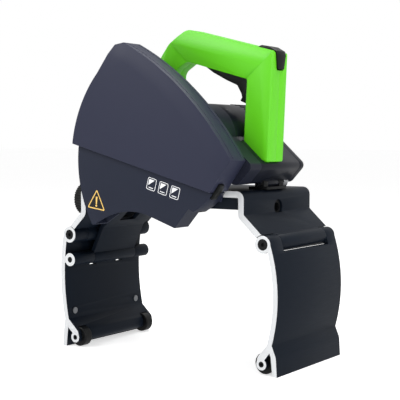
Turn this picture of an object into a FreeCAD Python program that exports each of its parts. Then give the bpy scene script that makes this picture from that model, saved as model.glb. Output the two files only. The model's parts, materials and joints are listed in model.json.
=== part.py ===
import FreeCAD, Part
import math
import os
from FreeCAD import Vector

# Pipe saw on a four-roller pipe gripper. Millimetres, +Z up.
# X runs across the jaws, Y runs along the pipe and away from the blade, Z is the height above the floor.
# Everything is placed about the mid-plane between the jaws (X = 0), the gripper's front ends (Y = 0) and the
# floor (Z = 0). The last step moves the whole object so that its origin is the bottom centre of its box.
# The saw unit is drawn level, as it is when pressed down, and is then raised about its hinge.

# ---------------------------------------------------------------- driving dimensions
gripper_width = 165.0        # length of the extrusions along the pipe
frame_top_z = 223.0          # top of the bridge
frame_wall = 8.0             # wall of the bridge extrusion
shoulder_right_x = 125.0     # outer faces of the bridge's short upright walls
shoulder_left_x = -138.0
shoulder_right_z = 192.5     # where the upright walls turn outwards to the hinges
shoulder_left_z = 186.0
bridge_corner_r = 10.0
hinge_left = (-160.0, 155.5)
hinge_right = (152.0, 159.5)
ring_r = 11.0                # hinge eyes of the extrusions
claw_wall = 7.0
jaw_out_left = -176.0        # outermost faces of the bowed jaws
jaw_out_right = 173.3
waist_out_left = -169.3      # outer faces of the jaws at the crease above the foot
waist_out_right = 165.4
waist_z = 38.0
axle_x = 150.6               # roller axles at the bottom of the jaws
axle_z = 13.6
axle_ring_r = 7.2
neck_wall = 4.0              # neck between the waist and the roller eye
axle_r = 3.5
foot_out = 172.7             # outer face of a foot
foot_wall = 6.4
foot_turn_z = 24.0           # height at which a foot leg starts
rivet_r = 4.5
rivet_inset = 15.0
rivet_z = 48.0
knuckle_start = 0.17         # share of the width where the middle knuckles begin and end
knuckle_end = 0.86
knuckle_slit = 10.0          # depth of the opening at the right middle knuckle, from its axis
hinge_rod_r = 5.0
screw_head_r = 6.5
screw_head_h = 4.0
screw_sink = 0.4
wheel_r = 13.3
wheel_width = 15.0
wheel_inset = 6.5            # outer wheels' distance from the ends of the jaws
wheel_hub_r = 7.0
wheel_step = 0.8
link_ring_r = 9.0
link_drop = 34.7             # link pin below the left hinge
link_plate_wall = 6.0
link_start = 0.26
link_end = 0.81
carriage = (-98.0, 200.0)    # centre of the block that the lead screw pushes
carriage_size = (22.0, 30.0, 20.0)
trunnion_r = 4.0
trunnion_play = 2.6
screw_r = 6.0
knob_r = 24.0
knob_width = 22.0
knob_outer_x = -204.0
knob_ribs = 40
beam_width = 20.0            # roller beams under the bridge
beam_height = 15.0
beam_inset = 4.0
roller_r = 10.0
roller_width = 10.5
roller_x = 52.0
roller_pin_r = 3.0
roller_lift = 4.2            # roller axis above the underside of its beam

bush_r = 10.0
bush_flange_r = 13.0
bush_flange = 3.0
bush_tail = 12.0
link_rod_r = 4.0
link_bend = (21.5, 44.0)     # crank of the link plate, from the link pin
link_eye_wall = 3.5
window_width = 14.0
window_height = 4.0
window_shifts = (-29.0, 29.0) # places of the two windows, from the middle of the link
screw_shank = 16.0
screw_shank_r = 3.0
socket_r = 2.6
trunnion_reach = 16.0
collar_r = 9.0
collar_width = 4.0
lead_screw_end = 100.0
knob_rib_depth = 1.0
knob_hub_length = 7.0
knob_hub_r = 12.0
beam_end_cut = 34.0
ear_r = 7.0
bracket_half = 16.0
bracket_right = 11.5
bracket_base = 3.6
spring_r = 6.2
spring_wire_r = 0.9
spring_pitch = 2.2
spring_turns = 5
saw_pin_end = 118.0

raise_angle = 15.0           # saw unit at rest, above level
saw_hinge = (113.0, 231.0)   # the saw unit's places are measured with the bridge's top at the datum
saw_datum_z = 223.0
lug_r = 6.5
lug_start = 66.0
lug_end = 93.0
ear_thick = 10.0
saw_pin_r = 4.0

guard_pivot = (40.0, 240.5)
cover_left_end = 151.6       # direction from the pivot in which the left arc ends
cover_apex_angle = 78.2      # directions from the long arc's centre
cover_right_angle = 46.95
cover_apex_left = (-87.0, 359.6)
cover_right_low = (104.0, 219.5)
mouth_left = 5.5
mouth_right = 3.5
lower_top_deg = 183.5
lower_low_deg = 227.4
lower_right_deg = -50.0
lower_tail = (61.6, 161.0)
lower_notch = (76.0, 190.5)
skirt_z = 205.0
guard_tab_width = 9.0
skirt_inset = 6.0
lock_offset = (0.0, 34.0)
lock_pin_r = 3.0
lock_button_gap = 0.8
lock_head_y = 4.0
lock_head_h = 5.0
lock_head_r = 6.5
spindle_boss_y = 24.0
spindle_boss_r = 20.0
bearing_r = 16.0
bearing_width = 10.0
seal_r = 14.0
flange_r = 17.0
bolt_r = 4.0
shaft_r = 5.0
rotor_bearing_r = 11.0
fan_y = 16.0
winding_room = 5.0           # from the housing wall to the fan and to the brush holders
stator_y0 = 34.0
stator_y1 = 88.0
stator_bore_r = 26.0
commutator_y = 93.0
brush_inner_r = 13.0
arm_top = (84.0, 284.0)
arm_tip = (132.0, 259.5)
arm_low = (117.0, 231.0)
relief_r = 8.4
end_cap_step = 3.5
vent_pitch = 8.0
vent_width = 3.0
vent_inner = 11.0
vent_outer = 22.0
handle_chamfer = 2.0
trigger_pivot = (6.0, 361.0)
pivot_pin_r = 1.6
lock_pivot = (80.5, 395.0)
lock_pivot_r = 1.2
lock_pin_reach = 13.1
lock_press = 5.0
lock_taper = 5.5
handle_screw_places = [(-14.0, 376.5), (66.0, 376.5), (104.0, 330.0), (-56.0, 345.0)]
handle_screw_r = 3.6
handle_screw_sink = 1.6
handle_shank_r = 1.5
ridge_z = 376.5              # ridge along the middle of the grip
ridge_x = -57.0              # ridge of the front leg
ridge_slope_up = 0.26
ridge_slope_low = 0.22
leg_slope = 0.32
leg_slope_out = 0.3
leg_depth = 4.6
facet_reach = 40.0
handle_reach = 140.0
grip_zone = [(-6.9, 345.0), (66.6, 345.0), (117.7, 420.0), (-126.3, 420.0)]
leg_zone = [(-6.9, 345.0), (-126.3, 420.0), (-126.3, 262.0), (-6.9, 262.0)]
cover_left_r = 164.0
cover_arc_centre = (-158.4, -35.2)
cover_arc_r = 409.0
cover_front_y = -40.0
cover_back_y = -1.5
cover_wall = 3.0
cover_bevel = 22.0           # width of the bevel along the cover's long curved edge
cover_bevel_depth = 5.0
cover_seam_z = 219.5
lower_front_y = -34.0
lower_wall = 2.5
lower_back_y = -4.6
lower_left_r = 157.5
lower_right_r = 67.5
back_plate_wall = 2.5
arch_centre = (17.5, 60.5)
arch_r = 103.6
spindle = (-15.0, 250.0)
blade_r = 82.5
blade_thick = 1.8
blade_y = -22.0
blade_bore_r = 10.0
blade_teeth = 40
gear_module = 1.25
gear_teeth = 82
pinion_teeth = 14
gear_width = 6.5
gear_front_y = -15.2
gearbox_front_y = -18.5
gearbox_wall = 2.5
spindle_r = 8.0
motor_angle = 20.0           # direction from the spindle to the motor axis
motor_r = 44.0
motor_front_y = 24.0
motor_back_y = 118.0
motor_end_y = 132.0
motor_wall = 3.0
handle_front_y = 33.0
handle_thick = 37.0
handle_wall = 3.0
trigger_width = 18.0
lock_width = 23.0

run = 0.05                   # radial clearance of a shaft in its hole
gap = 0.4                    # clearance between pieces that move past each other
fit = 0.1                    # clearance between fixed pieces

# ---------------------------------------------------------------- derived places
half_width = gripper_width / 2
fan_r = motor_r - motor_wall - winding_room
saw_lift = frame_top_z - saw_datum_z
hinge_place = (saw_hinge[0], saw_hinge[1] + saw_lift)
knuckle_y0 = gripper_width * knuckle_start
knuckle_y1 = gripper_width * knuckle_end
link_y0 = gripper_width * link_start
link_y1 = gripper_width * link_end
link_pin = (hinge_left[0] + 0.7, hinge_left[1] - link_drop)
frame_under_z = frame_top_z - frame_wall
beam_z = frame_under_z - beam_height
roller_z = beam_z + roller_lift
centre_distance = gear_module * (gear_teeth + pinion_teeth) / 2
motor_axis = (spindle[0] + centre_distance * math.cos(math.radians(motor_angle)),
              spindle[1] + centre_distance * math.sin(math.radians(motor_angle)))
gear_r = gear_module * gear_teeth / 2
gearbox_r = gear_r + gear_module + gearbox_wall + 2 * gap
handle_mid_y = handle_front_y + handle_thick / 2
handle_back_y = handle_front_y + handle_thick

nodes = {}


# ---------------------------------------------------------------- helpers
def at(x, z, y=0.0):
    return Vector(x, y, z)


def outline(points, y):
    """Closed wire in the XZ plane; a third value on a point rounds that corner."""
    count = len(points)
    ends = []
    for i, point in enumerate(points):
        here = at(point[0], point[1], y)
        radius = point[2] if len(point) > 2 else 0
        if not radius:
            ends.append((here, None, here))
            continue
        before = at(points[i - 1][0], points[i - 1][1], y)
        after = at(points[(i + 1) % count][0], points[(i + 1) % count][1], y)
        u = (before - here).normalize()
        v = (after - here).normalize()
        half = u.getAngle(v) / 2
        run_in = radius / math.tan(half)
        bisector = (u + v).normalize()
        middle = here + bisector * (radius / math.sin(half) - radius)
        ends.append((here + u * run_in, middle, here + v * run_in))
    edges = []
    for i, (start, middle, end) in enumerate(ends):
        if middle is not None:
            edges.append(Part.Arc(start, middle, end).toShape())
        following = ends[(i + 1) % count][0]
        if end.distanceToPoint(following) > 1e-4:
            edges.append(Part.LineSegment(end, following).toShape())
    return Part.Wire(edges)


def prism(points, y0, y1):
    return Part.Face(outline(points, y0)).extrude(Vector(0, y1 - y0, 0))


def rod_y(place, y0, y1, radius):
    return Part.makeCylinder(radius, y1 - y0, at(place[0], place[1], y0), Vector(0, 1, 0))


def tube_y(place, y0, y1, outer, inner):
    return rod_y(place, y0, y1, outer).cut(rod_y(place, y0, y1, inner))


def rod_x(y, z, x0, x1, radius):
    return Part.makeCylinder(radius, x1 - x0, Vector(x0, y, z), Vector(1, 0, 0))


def box(x0, x1, y0, y1, z0, z1):
    return Part.makeBox(x1 - x0, y1 - y0, z1 - z0, Vector(x0, y0, z0))


def joined(shapes):
    whole = shapes[0].fuse(shapes[1:]) if len(shapes) > 1 else shapes[0]
    return whole.removeSplitter()


def raised(shape):
    """Turns the saw unit up about its hinge and stands it on the bridge."""
    turned = shape.copy()
    turned.rotate(at(*saw_hinge), Vector(0, 1, 0), raise_angle)
    turned.translate(Vector(0, 0, saw_lift))
    return turned


def cap_screw_y(place, y_face, direction, head_r, head_h, shank_r, shank_length, socket_r):
    """Socket screw along Y: the head's underside is at y_face and the shank runs against direction."""
    axis = Vector(0, direction, 0)
    base = at(place[0], place[1], y_face)
    head = Part.makeCylinder(head_r, head_h, base, axis)
    shank = Part.makeCylinder(shank_r, shank_length, base, axis * -1)
    socket_depth = head_h * 0.6
    socket = Part.makeCylinder(socket_r, socket_depth, base + axis * (head_h - socket_depth), axis)
    return head.fuse(shank).removeSplitter().cut(socket)


def gear(place, y0, width, teeth, module, bore_r, turn_deg):
    """Spur gear with straight-sided teeth and a little backlash."""
    pitch = 2 * math.pi / teeth
    radius = module * teeth / 2
    foot_r = radius - 1.2 * module
    tip_r = radius + 0.85 * module
    turn = math.radians(turn_deg)
    profile = []
    for i in range(teeth):
        middle = turn + i * pitch
        for share, r in ((-0.30, foot_r), (-0.11, tip_r), (0.11, tip_r), (0.30, foot_r)):
            angle = middle + share * pitch
            profile.append((place[0] + r * math.cos(angle), place[1] + r * math.sin(angle)))
    return prism(profile, y0, y0 + width).cut(rod_y(place, y0 - 1, y0 + width + 1, bore_r))


def prism_x(points, x0, x1):
    wire = Part.makePolygon([Vector(x0, y, z) for y, z in points + points[:1]])
    return Part.Face(wire).extrude(Vector(x1 - x0, 0, 0))


def strip(points, wall, corner_r):
    """Outline of a wall of constant thickness that follows a centre line with rounded corners."""
    half = wall / 2
    left = []
    right = []
    last = len(points) - 1
    for i, point in enumerate(points):
        here = at(*point)
        u = (here - at(*points[i - 1])).normalize() if i else None
        v = (at(*points[i + 1]) - here).normalize() if i < last else None
        u = u or v
        v = v or u
        side_u = Vector(-u.z, 0, u.x)
        side_v = Vector(-v.z, 0, v.x)
        mitre = (side_u + side_v).normalize()
        mitre = mitre * (half / mitre.dot(side_u))
        turn = u.x * v.z - u.z * v.x
        inner_r = corner_r if abs(turn) > 0.01 else 0
        outer_r = corner_r + wall if abs(turn) > 0.01 else 0
        a = here + mitre
        b = here - mitre
        left.append((a.x, a.z, inner_r if turn > 0 else outer_r))
        right.append((b.x, b.z, outer_r if turn > 0 else inner_r))
    return left + right[::-1]


# ---------------------------------------------------------------- gripper
def make_bridge():
    """Bent aluminium extrusion over the pipe, with a hinge knuckle at each end."""
    half_wall = frame_wall / 2
    rise = ring_r * 0.42
    line = [(hinge_left[0], hinge_left[1] + rise),
            (shoulder_left_x + half_wall, shoulder_left_z),
            (shoulder_left_x + half_wall, frame_top_z - half_wall),
            (shoulder_right_x - half_wall, frame_top_z - half_wall),
            (shoulder_right_x - half_wall, shoulder_right_z),
            (hinge_right[0], hinge_right[1] + rise)]
    bridge = prism(strip(line, frame_wall, bridge_corner_r - frame_wall), 0, gripper_width)
    for hinge in (hinge_left, hinge_right):
        bridge = bridge.fuse(rod_y(hinge, knuckle_y0, knuckle_y1, ring_r))
        bridge = bridge.cut(rod_y(hinge, -1, knuckle_y0, ring_r + 2 * gap))
        bridge = bridge.cut(rod_y(hinge, knuckle_y1, gripper_width + 1, ring_r + 2 * gap))
        bridge = bridge.cut(rod_y(hinge, 0, gripper_width, hinge_rod_r))
    for x_wall in (shoulder_left_x - 1, shoulder_right_x - frame_wall - 1):
        bridge = bridge.cut(rod_x(half_width, carriage[1], x_wall, x_wall + frame_wall + 2, bush_r))
    return bridge.removeSplitter()


def make_jaw(hinge, side, mid_out, waist_out):
    """Bowed jaw extrusion: hinge eye on top, roller eye and foot leg at the bottom."""
    top_x = hinge[0] + side * ring_r
    middle_z = (hinge[1] + waist_z) / 2
    outer = Part.Arc(at(top_x, hinge[1]), at(mid_out, middle_z), at(waist_out, waist_z)).toShape()
    shift = -side * claw_wall
    inner = Part.Arc(at(waist_out + shift, waist_z), at(mid_out + shift, middle_z),
                     at(top_x + shift, hinge[1])).toShape()
    bottom = Part.LineSegment(at(waist_out, waist_z), at(waist_out + shift, waist_z)).toShape()
    top = Part.LineSegment(at(top_x + shift, hinge[1]), at(top_x, hinge[1])).toShape()
    wall = Part.Face(Part.Wire([outer, bottom, inner, top])).extrude(Vector(0, gripper_width, 0))
    foot_in = side * (foot_out - foot_wall)
    waist_in = waist_out + shift
    leg = prism([(waist_out, waist_z), (side * (foot_out - 1.5), foot_turn_z, 20),
                 (side * foot_out, 0), (foot_in, 0), (foot_in - side * 2.5, foot_turn_z, 6),
                 (waist_in, waist_z)], 0, gripper_width)
    axle = (side * axle_x, axle_z)
    curl = prism([(waist_in, waist_z), (waist_in + side * claw_wall, waist_z - 4),
                  (waist_in + side * neck_wall, waist_z - 9, 3),
                  (axle[0] + side * neck_wall, axle_z + 5),
                  (axle[0] - side * (axle_ring_r - 0.4), axle_z + 2),
                  (axle[0] - side * (axle_ring_r - 2), axle_z + 9, 5)], 0, gripper_width)
    jaw = joined([wall, leg, curl, rod_y(hinge, 0, gripper_width, ring_r),
                  rod_y(axle, 0, gripper_width, axle_ring_r)])
    jaw = jaw.cut(rod_y(hinge, knuckle_y0 - gap, knuckle_y1 + gap, ring_r + 2 * gap))
    for start in (wheel_inset, gripper_width - wheel_inset - wheel_width):
        jaw = jaw.cut(rod_y(axle, start - gap, start + wheel_width + gap, wheel_r + 2 * gap))
    jaw = jaw.cut(rod_y(hinge, -1, gripper_width + 1, hinge_rod_r + run))
    jaw = jaw.cut(rod_y(axle, -1, gripper_width + 1, axle_r))
    for y0 in (-1, gripper_width - screw_head_h - screw_sink):
        jaw = jaw.cut(rod_y(hinge, y0, y0 + screw_head_h + screw_sink + 1, screw_head_r + gap))
    return jaw


def make_left_jaw():
    """The driven jaw also carries the eye of the link, with two small windows below it."""
    jaw = make_jaw(hinge_left, -1, jaw_out_left, waist_out_left)
    jaw = jaw.cut(make_rivets(-1, jaw_out_left, waist_out_left, hinge_left))
    eye = rod_y(link_pin, 0, gripper_width, link_ring_r)
    web = box(jaw_out_left + claw_wall / 2, link_pin[0], 0, gripper_width,
              link_pin[1] - link_ring_r / 2, link_pin[1] + link_ring_r / 2)
    jaw = jaw.fuse([eye, web]).removeSplitter()
    jaw = jaw.cut(rod_y(link_pin, link_y0 - gap, link_y1 + gap, link_ring_r + 2 * gap))
    jaw = jaw.cut(rod_y(link_pin, -1, gripper_width + 1, link_rod_r))
    for shift in window_shifts:
        middle = (link_y0 + link_y1) / 2 + shift
        jaw = jaw.cut(box(jaw_out_left - claw_wall, link_pin[0], middle - window_width / 2,
                          middle + window_width / 2, link_pin[1] - link_ring_r - window_height,
                          link_pin[1] - link_ring_r))
    return jaw.removeSplitter()


def make_right_jaw():
    """The fixed-side jaw is open under its middle knuckle."""
    jaw = make_jaw(hinge_right, 1, jaw_out_right, waist_out_right)
    slit = box(hinge_right[0], jaw_out_right + claw_wall, knuckle_y0 - gap, knuckle_y1 + gap,
               hinge_right[1] - knuckle_slit, hinge_right[1])
    return jaw.cut(slit).removeSplitter()


def hinge_rod(hinge):
    """Rod through the knuckles; it stops under the heads of its two end screws."""
    ends = screw_head_h + screw_sink
    rod = rod_y(hinge, ends, gripper_width - ends, hinge_rod_r)
    for y0 in (ends, gripper_width - ends - screw_shank):
        rod = rod.cut(rod_y(hinge, y0, y0 + screw_shank, screw_shank_r))
    return rod


def rod_screws(hinge):
    """Two socket screws that close the ends of a hinge rod."""
    ends = screw_head_h + screw_sink
    size = (screw_head_r, screw_head_h, screw_shank_r, screw_shank, socket_r)
    return [cap_screw_y(hinge, ends, -1, *size), cap_screw_y(hinge, gripper_width - ends, 1, *size)]


def make_axle(side):
    place = (side * axle_x, axle_z)
    axle = rod_y(place, 0.6, gripper_width - 0.6, axle_r)
    for y0 in (0.5, gripper_width - 3.1):
        axle = axle.cut(rod_y(place, y0, y0 + 2.6, 1.8))
    return axle


def make_rivets(side, mid_out, waist_out, hinge):
    """Two domed rivets on the inner face of a jaw."""
    middle_z = (hinge[1] + waist_z) / 2
    share = (rivet_z - waist_z) / (middle_z - waist_z)
    face_x = waist_out + (mid_out - waist_out) * (1 - (1 - share) ** 2) - side * claw_wall
    rivets = []
    for y in (rivet_inset, gripper_width - rivet_inset):
        shank = Part.makeCylinder(rivet_r / 2, claw_wall - 2, Vector(face_x + side, y, rivet_z),
                                  Vector(side, 0, 0))
        head = Part.makeCylinder(rivet_r, 3.0, Vector(face_x - side * 1.2, y, rivet_z),
                                 Vector(side, 0, 0))
        rivets.append(head.fuse(shank).removeSplitter())
    return rivets


def make_wheel(side, y0):
    """Rubber roller with a hub that stands a little proud on both sides."""
    place = (side * axle_x, axle_z)
    hub = rod_y(place, y0, y0 + wheel_width, wheel_hub_r)
    tyre = rod_y(place, y0 + wheel_step, y0 + wheel_width - wheel_step, wheel_r)
    tyre = tyre.makeFillet(1.5, [e for e in tyre.Edges if e.Curve.TypeId == "Part::GeomCircle"])
    return tyre.fuse(hub).removeSplitter().cut(rod_y(place, y0 - 1, y0 + wheel_width + 1, axle_r + run))


# ---------------------------------------------------------------- clamp screw and link
def make_link():
    """Cranked plate between the left jaw and the carriage, with a slot for the lead screw."""
    knuckle = rod_y(link_pin, link_y0, link_y1, link_ring_r)
    bend = (link_pin[0] + link_bend[0], link_pin[1] + link_bend[1])
    plate = prism(strip([link_pin, bend, carriage], link_plate_wall, 4), link_y0, link_y1)
    eye_r = trunnion_r + trunnion_play + link_eye_wall
    link = joined([knuckle, plate, rod_y(carriage, link_y0, link_y1, eye_r)])
    slot_half = carriage_size[1] / 2 + 2
    link = link.cut(box(bend[0] + 8, carriage[0] + 40, half_width - slot_half, half_width + slot_half,
                        bend[1] + 8, carriage[1] + 40))
    link = link.cut(rod_y(carriage, 0, gripper_width, trunnion_r + trunnion_play))
    link = link.cut(rod_y(link_pin, 0, gripper_width, link_rod_r + run))
    return link.removeSplitter()


def make_carriage():
    x, z = carriage
    dx, dy, dz = (size / 2 for size in carriage_size)
    block = box(x - dx, x + dx, half_width - dy, half_width + dy, z - dz, z + dz)
    block = block.makeFillet(1.5, block.Edges)
    pins = rod_y(carriage, half_width - dy - trunnion_reach, half_width + dy + trunnion_reach, trunnion_r)
    return block.fuse(pins).cut(rod_x(half_width, z, x - dx - 1, x + dx + 1, screw_r + run)).removeSplitter()


def make_lead_screw():
    """Lead screw with two fixed collars that hold the carriage between them."""
    x, z = carriage
    inner_x = knob_outer_x + knob_width
    screw = rod_x(half_width, z, inner_x - 8, lead_screw_end, screw_r)
    half = carriage_size[0] / 2 + gap
    collars = [rod_x(half_width, z, x - half - collar_width, x - half, collar_r),
               rod_x(half_width, z, x + half, x + half + collar_width, collar_r)]
    return joined([screw] + collars)


def make_knob():
    """Ribbed hand knob with a hub towards the gripper and a dished outer face."""
    points = []
    for i in range(4 * knob_ribs):
        angle = 2 * math.pi * i / (4 * knob_ribs)
        radius = knob_r if i % 4 < 2 else knob_r - knob_rib_depth
        points.append((half_width + radius * math.cos(angle), carriage[1] + radius * math.sin(angle)))
    x0 = knob_outer_x
    x1 = knob_outer_x + knob_width
    knob = prism_x(points, x0, x1)
    knob = knob.fuse(rod_x(half_width, carriage[1], x1, x1 + knob_hub_length, knob_hub_r))
    knob = knob.cut(rod_x(half_width, carriage[1], x0 - 1, x0 + 3, knob_r - 6))
    bore = rod_x(half_width, carriage[1], x1 - 8, x1 + knob_hub_length + 1, screw_r)
    return knob.cut(bore).removeSplitter()


def make_bush(x_outer, direction, recess):
    """Flanged bush in an upright wall, its flange on the inside face of the wall."""
    wall_in = x_outer - direction * frame_wall
    start = x_outer - direction * recess
    y, z = half_width, carriage[1]
    barrel = Part.makeCylinder(bush_r - fit, abs(start - wall_in), Vector(wall_in, y, z),
                               Vector(direction, 0, 0))
    flange = Part.makeCylinder(bush_flange_r, bush_flange, Vector(wall_in, y, z), Vector(-direction, 0, 0))
    tail = Part.makeCylinder(bush_r, bush_tail, Vector(wall_in - direction * bush_flange, y, z),
                             Vector(-direction, 0, 0))
    bore = rod_x(y, z, x_outer - 60, x_outer + 60, screw_r + run)
    return joined([barrel, flange, tail]).cut(bore)


# ---------------------------------------------------------------- roller beams under the bridge
def make_beam(y0):
    corner = bridge_corner_r - frame_wall + fit
    x0 = shoulder_left_x + frame_wall + corner
    x1 = shoulder_right_x - frame_wall - corner
    beam = box(x0, x1, y0, y0 + beam_width, beam_z, frame_under_z)
    middle = y0 + beam_width / 2
    half = roller_width / 2 + gap
    for x in (-roller_x, roller_x):
        beam = beam.cut(box(x - roller_r - 1, x + roller_r + 1, middle - half, middle + half,
                            beam_z - 1, roller_z + roller_r + 1))
        beam = beam.cut(rod_y((x, roller_z), y0 - 1, y0 + beam_width + 1, roller_pin_r))
    beam = beam.cut(box(x0 - 1, x0 + beam_end_cut, y0 - 1, y0 + beam_width + 1, beam_z - 1, beam_z + 9))
    return beam


def make_roller(x, y0):
    middle = y0 + beam_width / 2
    return tube_y((x, roller_z), middle - roller_width / 2, middle + roller_width / 2, roller_r,
                  roller_pin_r + run)


# ---------------------------------------------------------------- saw hinge
def make_hinge_bracket():
    """Two ears on the bridge that carry the saw unit, joined by a low rib."""
    x, z = hinge_place
    parts = []
    y0 = lug_start - gap - ear_thick
    y1 = lug_end + gap + ear_thick
    for y in (y0, lug_end + gap):
        ear = rod_y(hinge_place, y, y + ear_thick, ear_r)
        stem = box(x - ear_r, x + ear_r, y, y + ear_thick, frame_top_z, z)
        base = box(x - bracket_half, x + bracket_right, y, y + ear_thick, frame_top_z,
                   frame_top_z + bracket_base)
        parts += [ear, stem, base]
    parts.append(box(x + ear_r + 1, x + bracket_right, y0, y1, frame_top_z, frame_top_z + bracket_base))
    bracket = joined(parts)
    return bracket.cut(rod_y(hinge_place, y0 - 1, y1 + 1, saw_pin_r)).removeSplitter()


def make_spring():
    """Torsion spring that lifts the saw unit, round the end of the hinge pin."""
    y0 = lug_end + gap + ear_thick + 1.0
    helix = Part.makeHelix(spring_pitch, spring_pitch * spring_turns, spring_r)
    start = Vector(spring_r, 0, 0)
    circle = Part.Wire(Part.makeCircle(spring_wire_r, start, Vector(0, 1, 0)))
    coil = Part.Wire(helix).makePipeShell([circle], True, True)
    coil.rotate(Vector(0, 0, 0), Vector(1, 0, 0), -90)
    coil.translate(at(hinge_place[0], hinge_place[1], y0 + spring_wire_r))
    return coil


# ---------------------------------------------------------------- blade guard
def cover_outline(y):
    """Outline of the upper guard: left arc about the guard pivot, apex, long curved edge, seam."""
    px, pz = guard_pivot
    drop = cover_seam_z - pz
    low_deg = 180 - math.degrees(math.asin(drop / cover_left_r))

    def left(degrees):
        a = math.radians(degrees)
        return at(px + cover_left_r * math.cos(a), pz + cover_left_r * math.sin(a), y)

    def long_edge(degrees):
        a = math.radians(degrees)
        return at(cover_arc_centre[0] + cover_arc_r * math.cos(a),
                  cover_arc_centre[1] + cover_arc_r * math.sin(a), y)
    apex = at(*cover_apex_left, y)
    right_low = at(*cover_right_low, y)
    long_mid = long_edge((cover_apex_angle + cover_right_angle) / 2)
    return Part.Wire([
        Part.Arc(left(low_deg), left((low_deg + cover_left_end) / 2), left(cover_left_end)).toShape(),
        Part.LineSegment(left(cover_left_end), apex).toShape(),
        Part.LineSegment(apex, long_edge(cover_apex_angle)).toShape(),
        Part.Arc(long_edge(cover_apex_angle), long_mid, long_edge(cover_right_angle)).toShape(),
        Part.LineSegment(long_edge(cover_right_angle), right_low).toShape(),
        Part.LineSegment(right_low, left(low_deg)).toShape()])


def cover_solid(inset, front_y, back_y):
    """Filled form of the upper guard; a cone about the arc's centre bevels its long curved edge."""
    wire = cover_outline(front_y)
    if inset:
        wire = wire.makeOffset2D(-inset)
    body = Part.Face(wire).extrude(Vector(0, back_y - front_y, 0))
    radius = cover_arc_r - inset
    shoulder_y = front_y + cover_bevel_depth
    cone = Part.makeCone(radius - cover_bevel, radius, cover_bevel_depth, at(*cover_arc_centre, front_y),
                         Vector(0, 1, 0))
    drum = rod_y(cover_arc_centre, shoulder_y, back_y, radius + 1)
    nose = body.common(cone)
    return body.common(drum).fuse(nose).removeSplitter()


def make_cover():
    """Fixed upper guard: a deep shell, open below and at the back."""
    outer = cover_solid(0, cover_front_y, cover_back_y)
    inner = cover_solid(cover_wall, cover_front_y + cover_wall, cover_back_y + 1)
    px = guard_pivot[0]
    mouth = box(px - cover_left_r + mouth_left, cover_right_low[0] - mouth_right, cover_front_y + cover_wall,
                cover_back_y + 1, cover_seam_z - 5, cover_seam_z + cover_wall + 1)
    return outer.cut(inner).cut(mouth)


def sector(centre, r_in, r_out, start_deg, end_deg, y0, y1):
    """Curved wall between two radii."""
    a0, a1, am = (math.radians(d) for d in (start_deg, end_deg, (start_deg + end_deg) / 2))

    def place(r, a):
        return at(centre[0] + r * math.cos(a), centre[1] + r * math.sin(a), y0)
    wire = Part.Wire([Part.Arc(place(r_out, a0), place(r_out, am), place(r_out, a1)).toShape(),
                      Part.LineSegment(place(r_out, a1), place(r_in, a1)).toShape(),
                      Part.Arc(place(r_in, a1), place(r_in, am), place(r_in, a0)).toShape(),
                      Part.LineSegment(place(r_in, a0), place(r_out, a0)).toShape()])
    return Part.Face(wire).extrude(Vector(0, y1 - y0, 0))


def right_wall_top():
    """Direction from the guard pivot in which the round right wall ends, just below the seam."""
    rise = (cover_seam_z - 1.5 * gap - guard_pivot[1]) / (lower_right_r - lower_wall)
    return math.degrees(math.asin(rise))


def lower_front(y0, y1):
    """Flat front wall of the swinging guard."""
    px, pz = guard_pivot

    def place(point):
        return at(point[0], point[1], y0)

    def polar(r, degrees):
        a = math.radians(degrees)
        return (px + r * math.cos(a), pz + r * math.sin(a))
    top_left, mid_left, low_left = (polar(lower_left_r, d) for d in (lower_top_deg, 205, lower_low_deg))
    arch_left, arch_mid, arch_right = (
        (arch_centre[0] + arch_r * math.cos(math.radians(d)),
         arch_centre[1] + arch_r * math.sin(math.radians(d)))
        for d in (132, 112, 92))
    right_top_deg = right_wall_top()
    right_low, right_mid, right_top = (polar(lower_right_r, d)
                                       for d in (lower_right_deg, (lower_right_deg + right_top_deg) / 2,
                                                 right_top_deg))
    inside_x = cover_right_low[0] - cover_wall - 4
    edges = [Part.Arc(place(top_left), place(mid_left), place(low_left)).toShape(),
             Part.LineSegment(place(low_left), place(arch_left)).toShape(),
             Part.Arc(place(arch_left), place(arch_mid), place(arch_right)).toShape(),
             Part.LineSegment(place(arch_right), place(lower_tail)).toShape(),
             Part.LineSegment(place(lower_tail), place(lower_notch)).toShape(),
             Part.LineSegment(place(lower_notch), place(right_low)).toShape(),
             Part.Arc(place(right_low), place(right_mid), place(right_top)).toShape(),
             Part.LineSegment(place(right_top), place((inside_x, right_top[1]))).toShape(),
             Part.LineSegment(place((inside_x, right_top[1])), place((inside_x, pz + 14))).toShape(),
             Part.LineSegment(place((inside_x, pz + 14)), place((px + 20, pz + 30))).toShape(),
             Part.LineSegment(place((px + 20, pz + 30)), place((px - 10, pz + 10))).toShape(),
             Part.LineSegment(place((px - 10, pz + 10)), place(top_left)).toShape()]
    return Part.Face(Part.Wire(edges)).extrude(Vector(0, y1 - y0, 0))


def make_lower_guard():
    """Swinging lower guard: front wall, curved left wall with a rear flange, and a round right wall."""
    front = lower_front(lower_front_y, lower_front_y + lower_wall)
    left = sector(guard_pivot, lower_left_r - lower_wall, lower_left_r, lower_top_deg, lower_low_deg,
                  lower_front_y, lower_back_y)
    flange = sector(guard_pivot, lower_left_r - 26, lower_left_r, lower_top_deg, lower_low_deg,
                    lower_back_y - 2, lower_back_y)
    right = sector(guard_pivot, lower_right_r - lower_wall, lower_right_r, lower_right_deg, right_wall_top(),
                   lower_front_y, lower_back_y)
    tail = prism([lower_tail, lower_notch, (lower_notch[0] - 3, lower_notch[1] - 1),
                  (lower_tail[0] - 4, lower_tail[1] + 0.5)], lower_front_y, lower_back_y)
    return joined([front, left, flange, right, tail])


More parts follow.
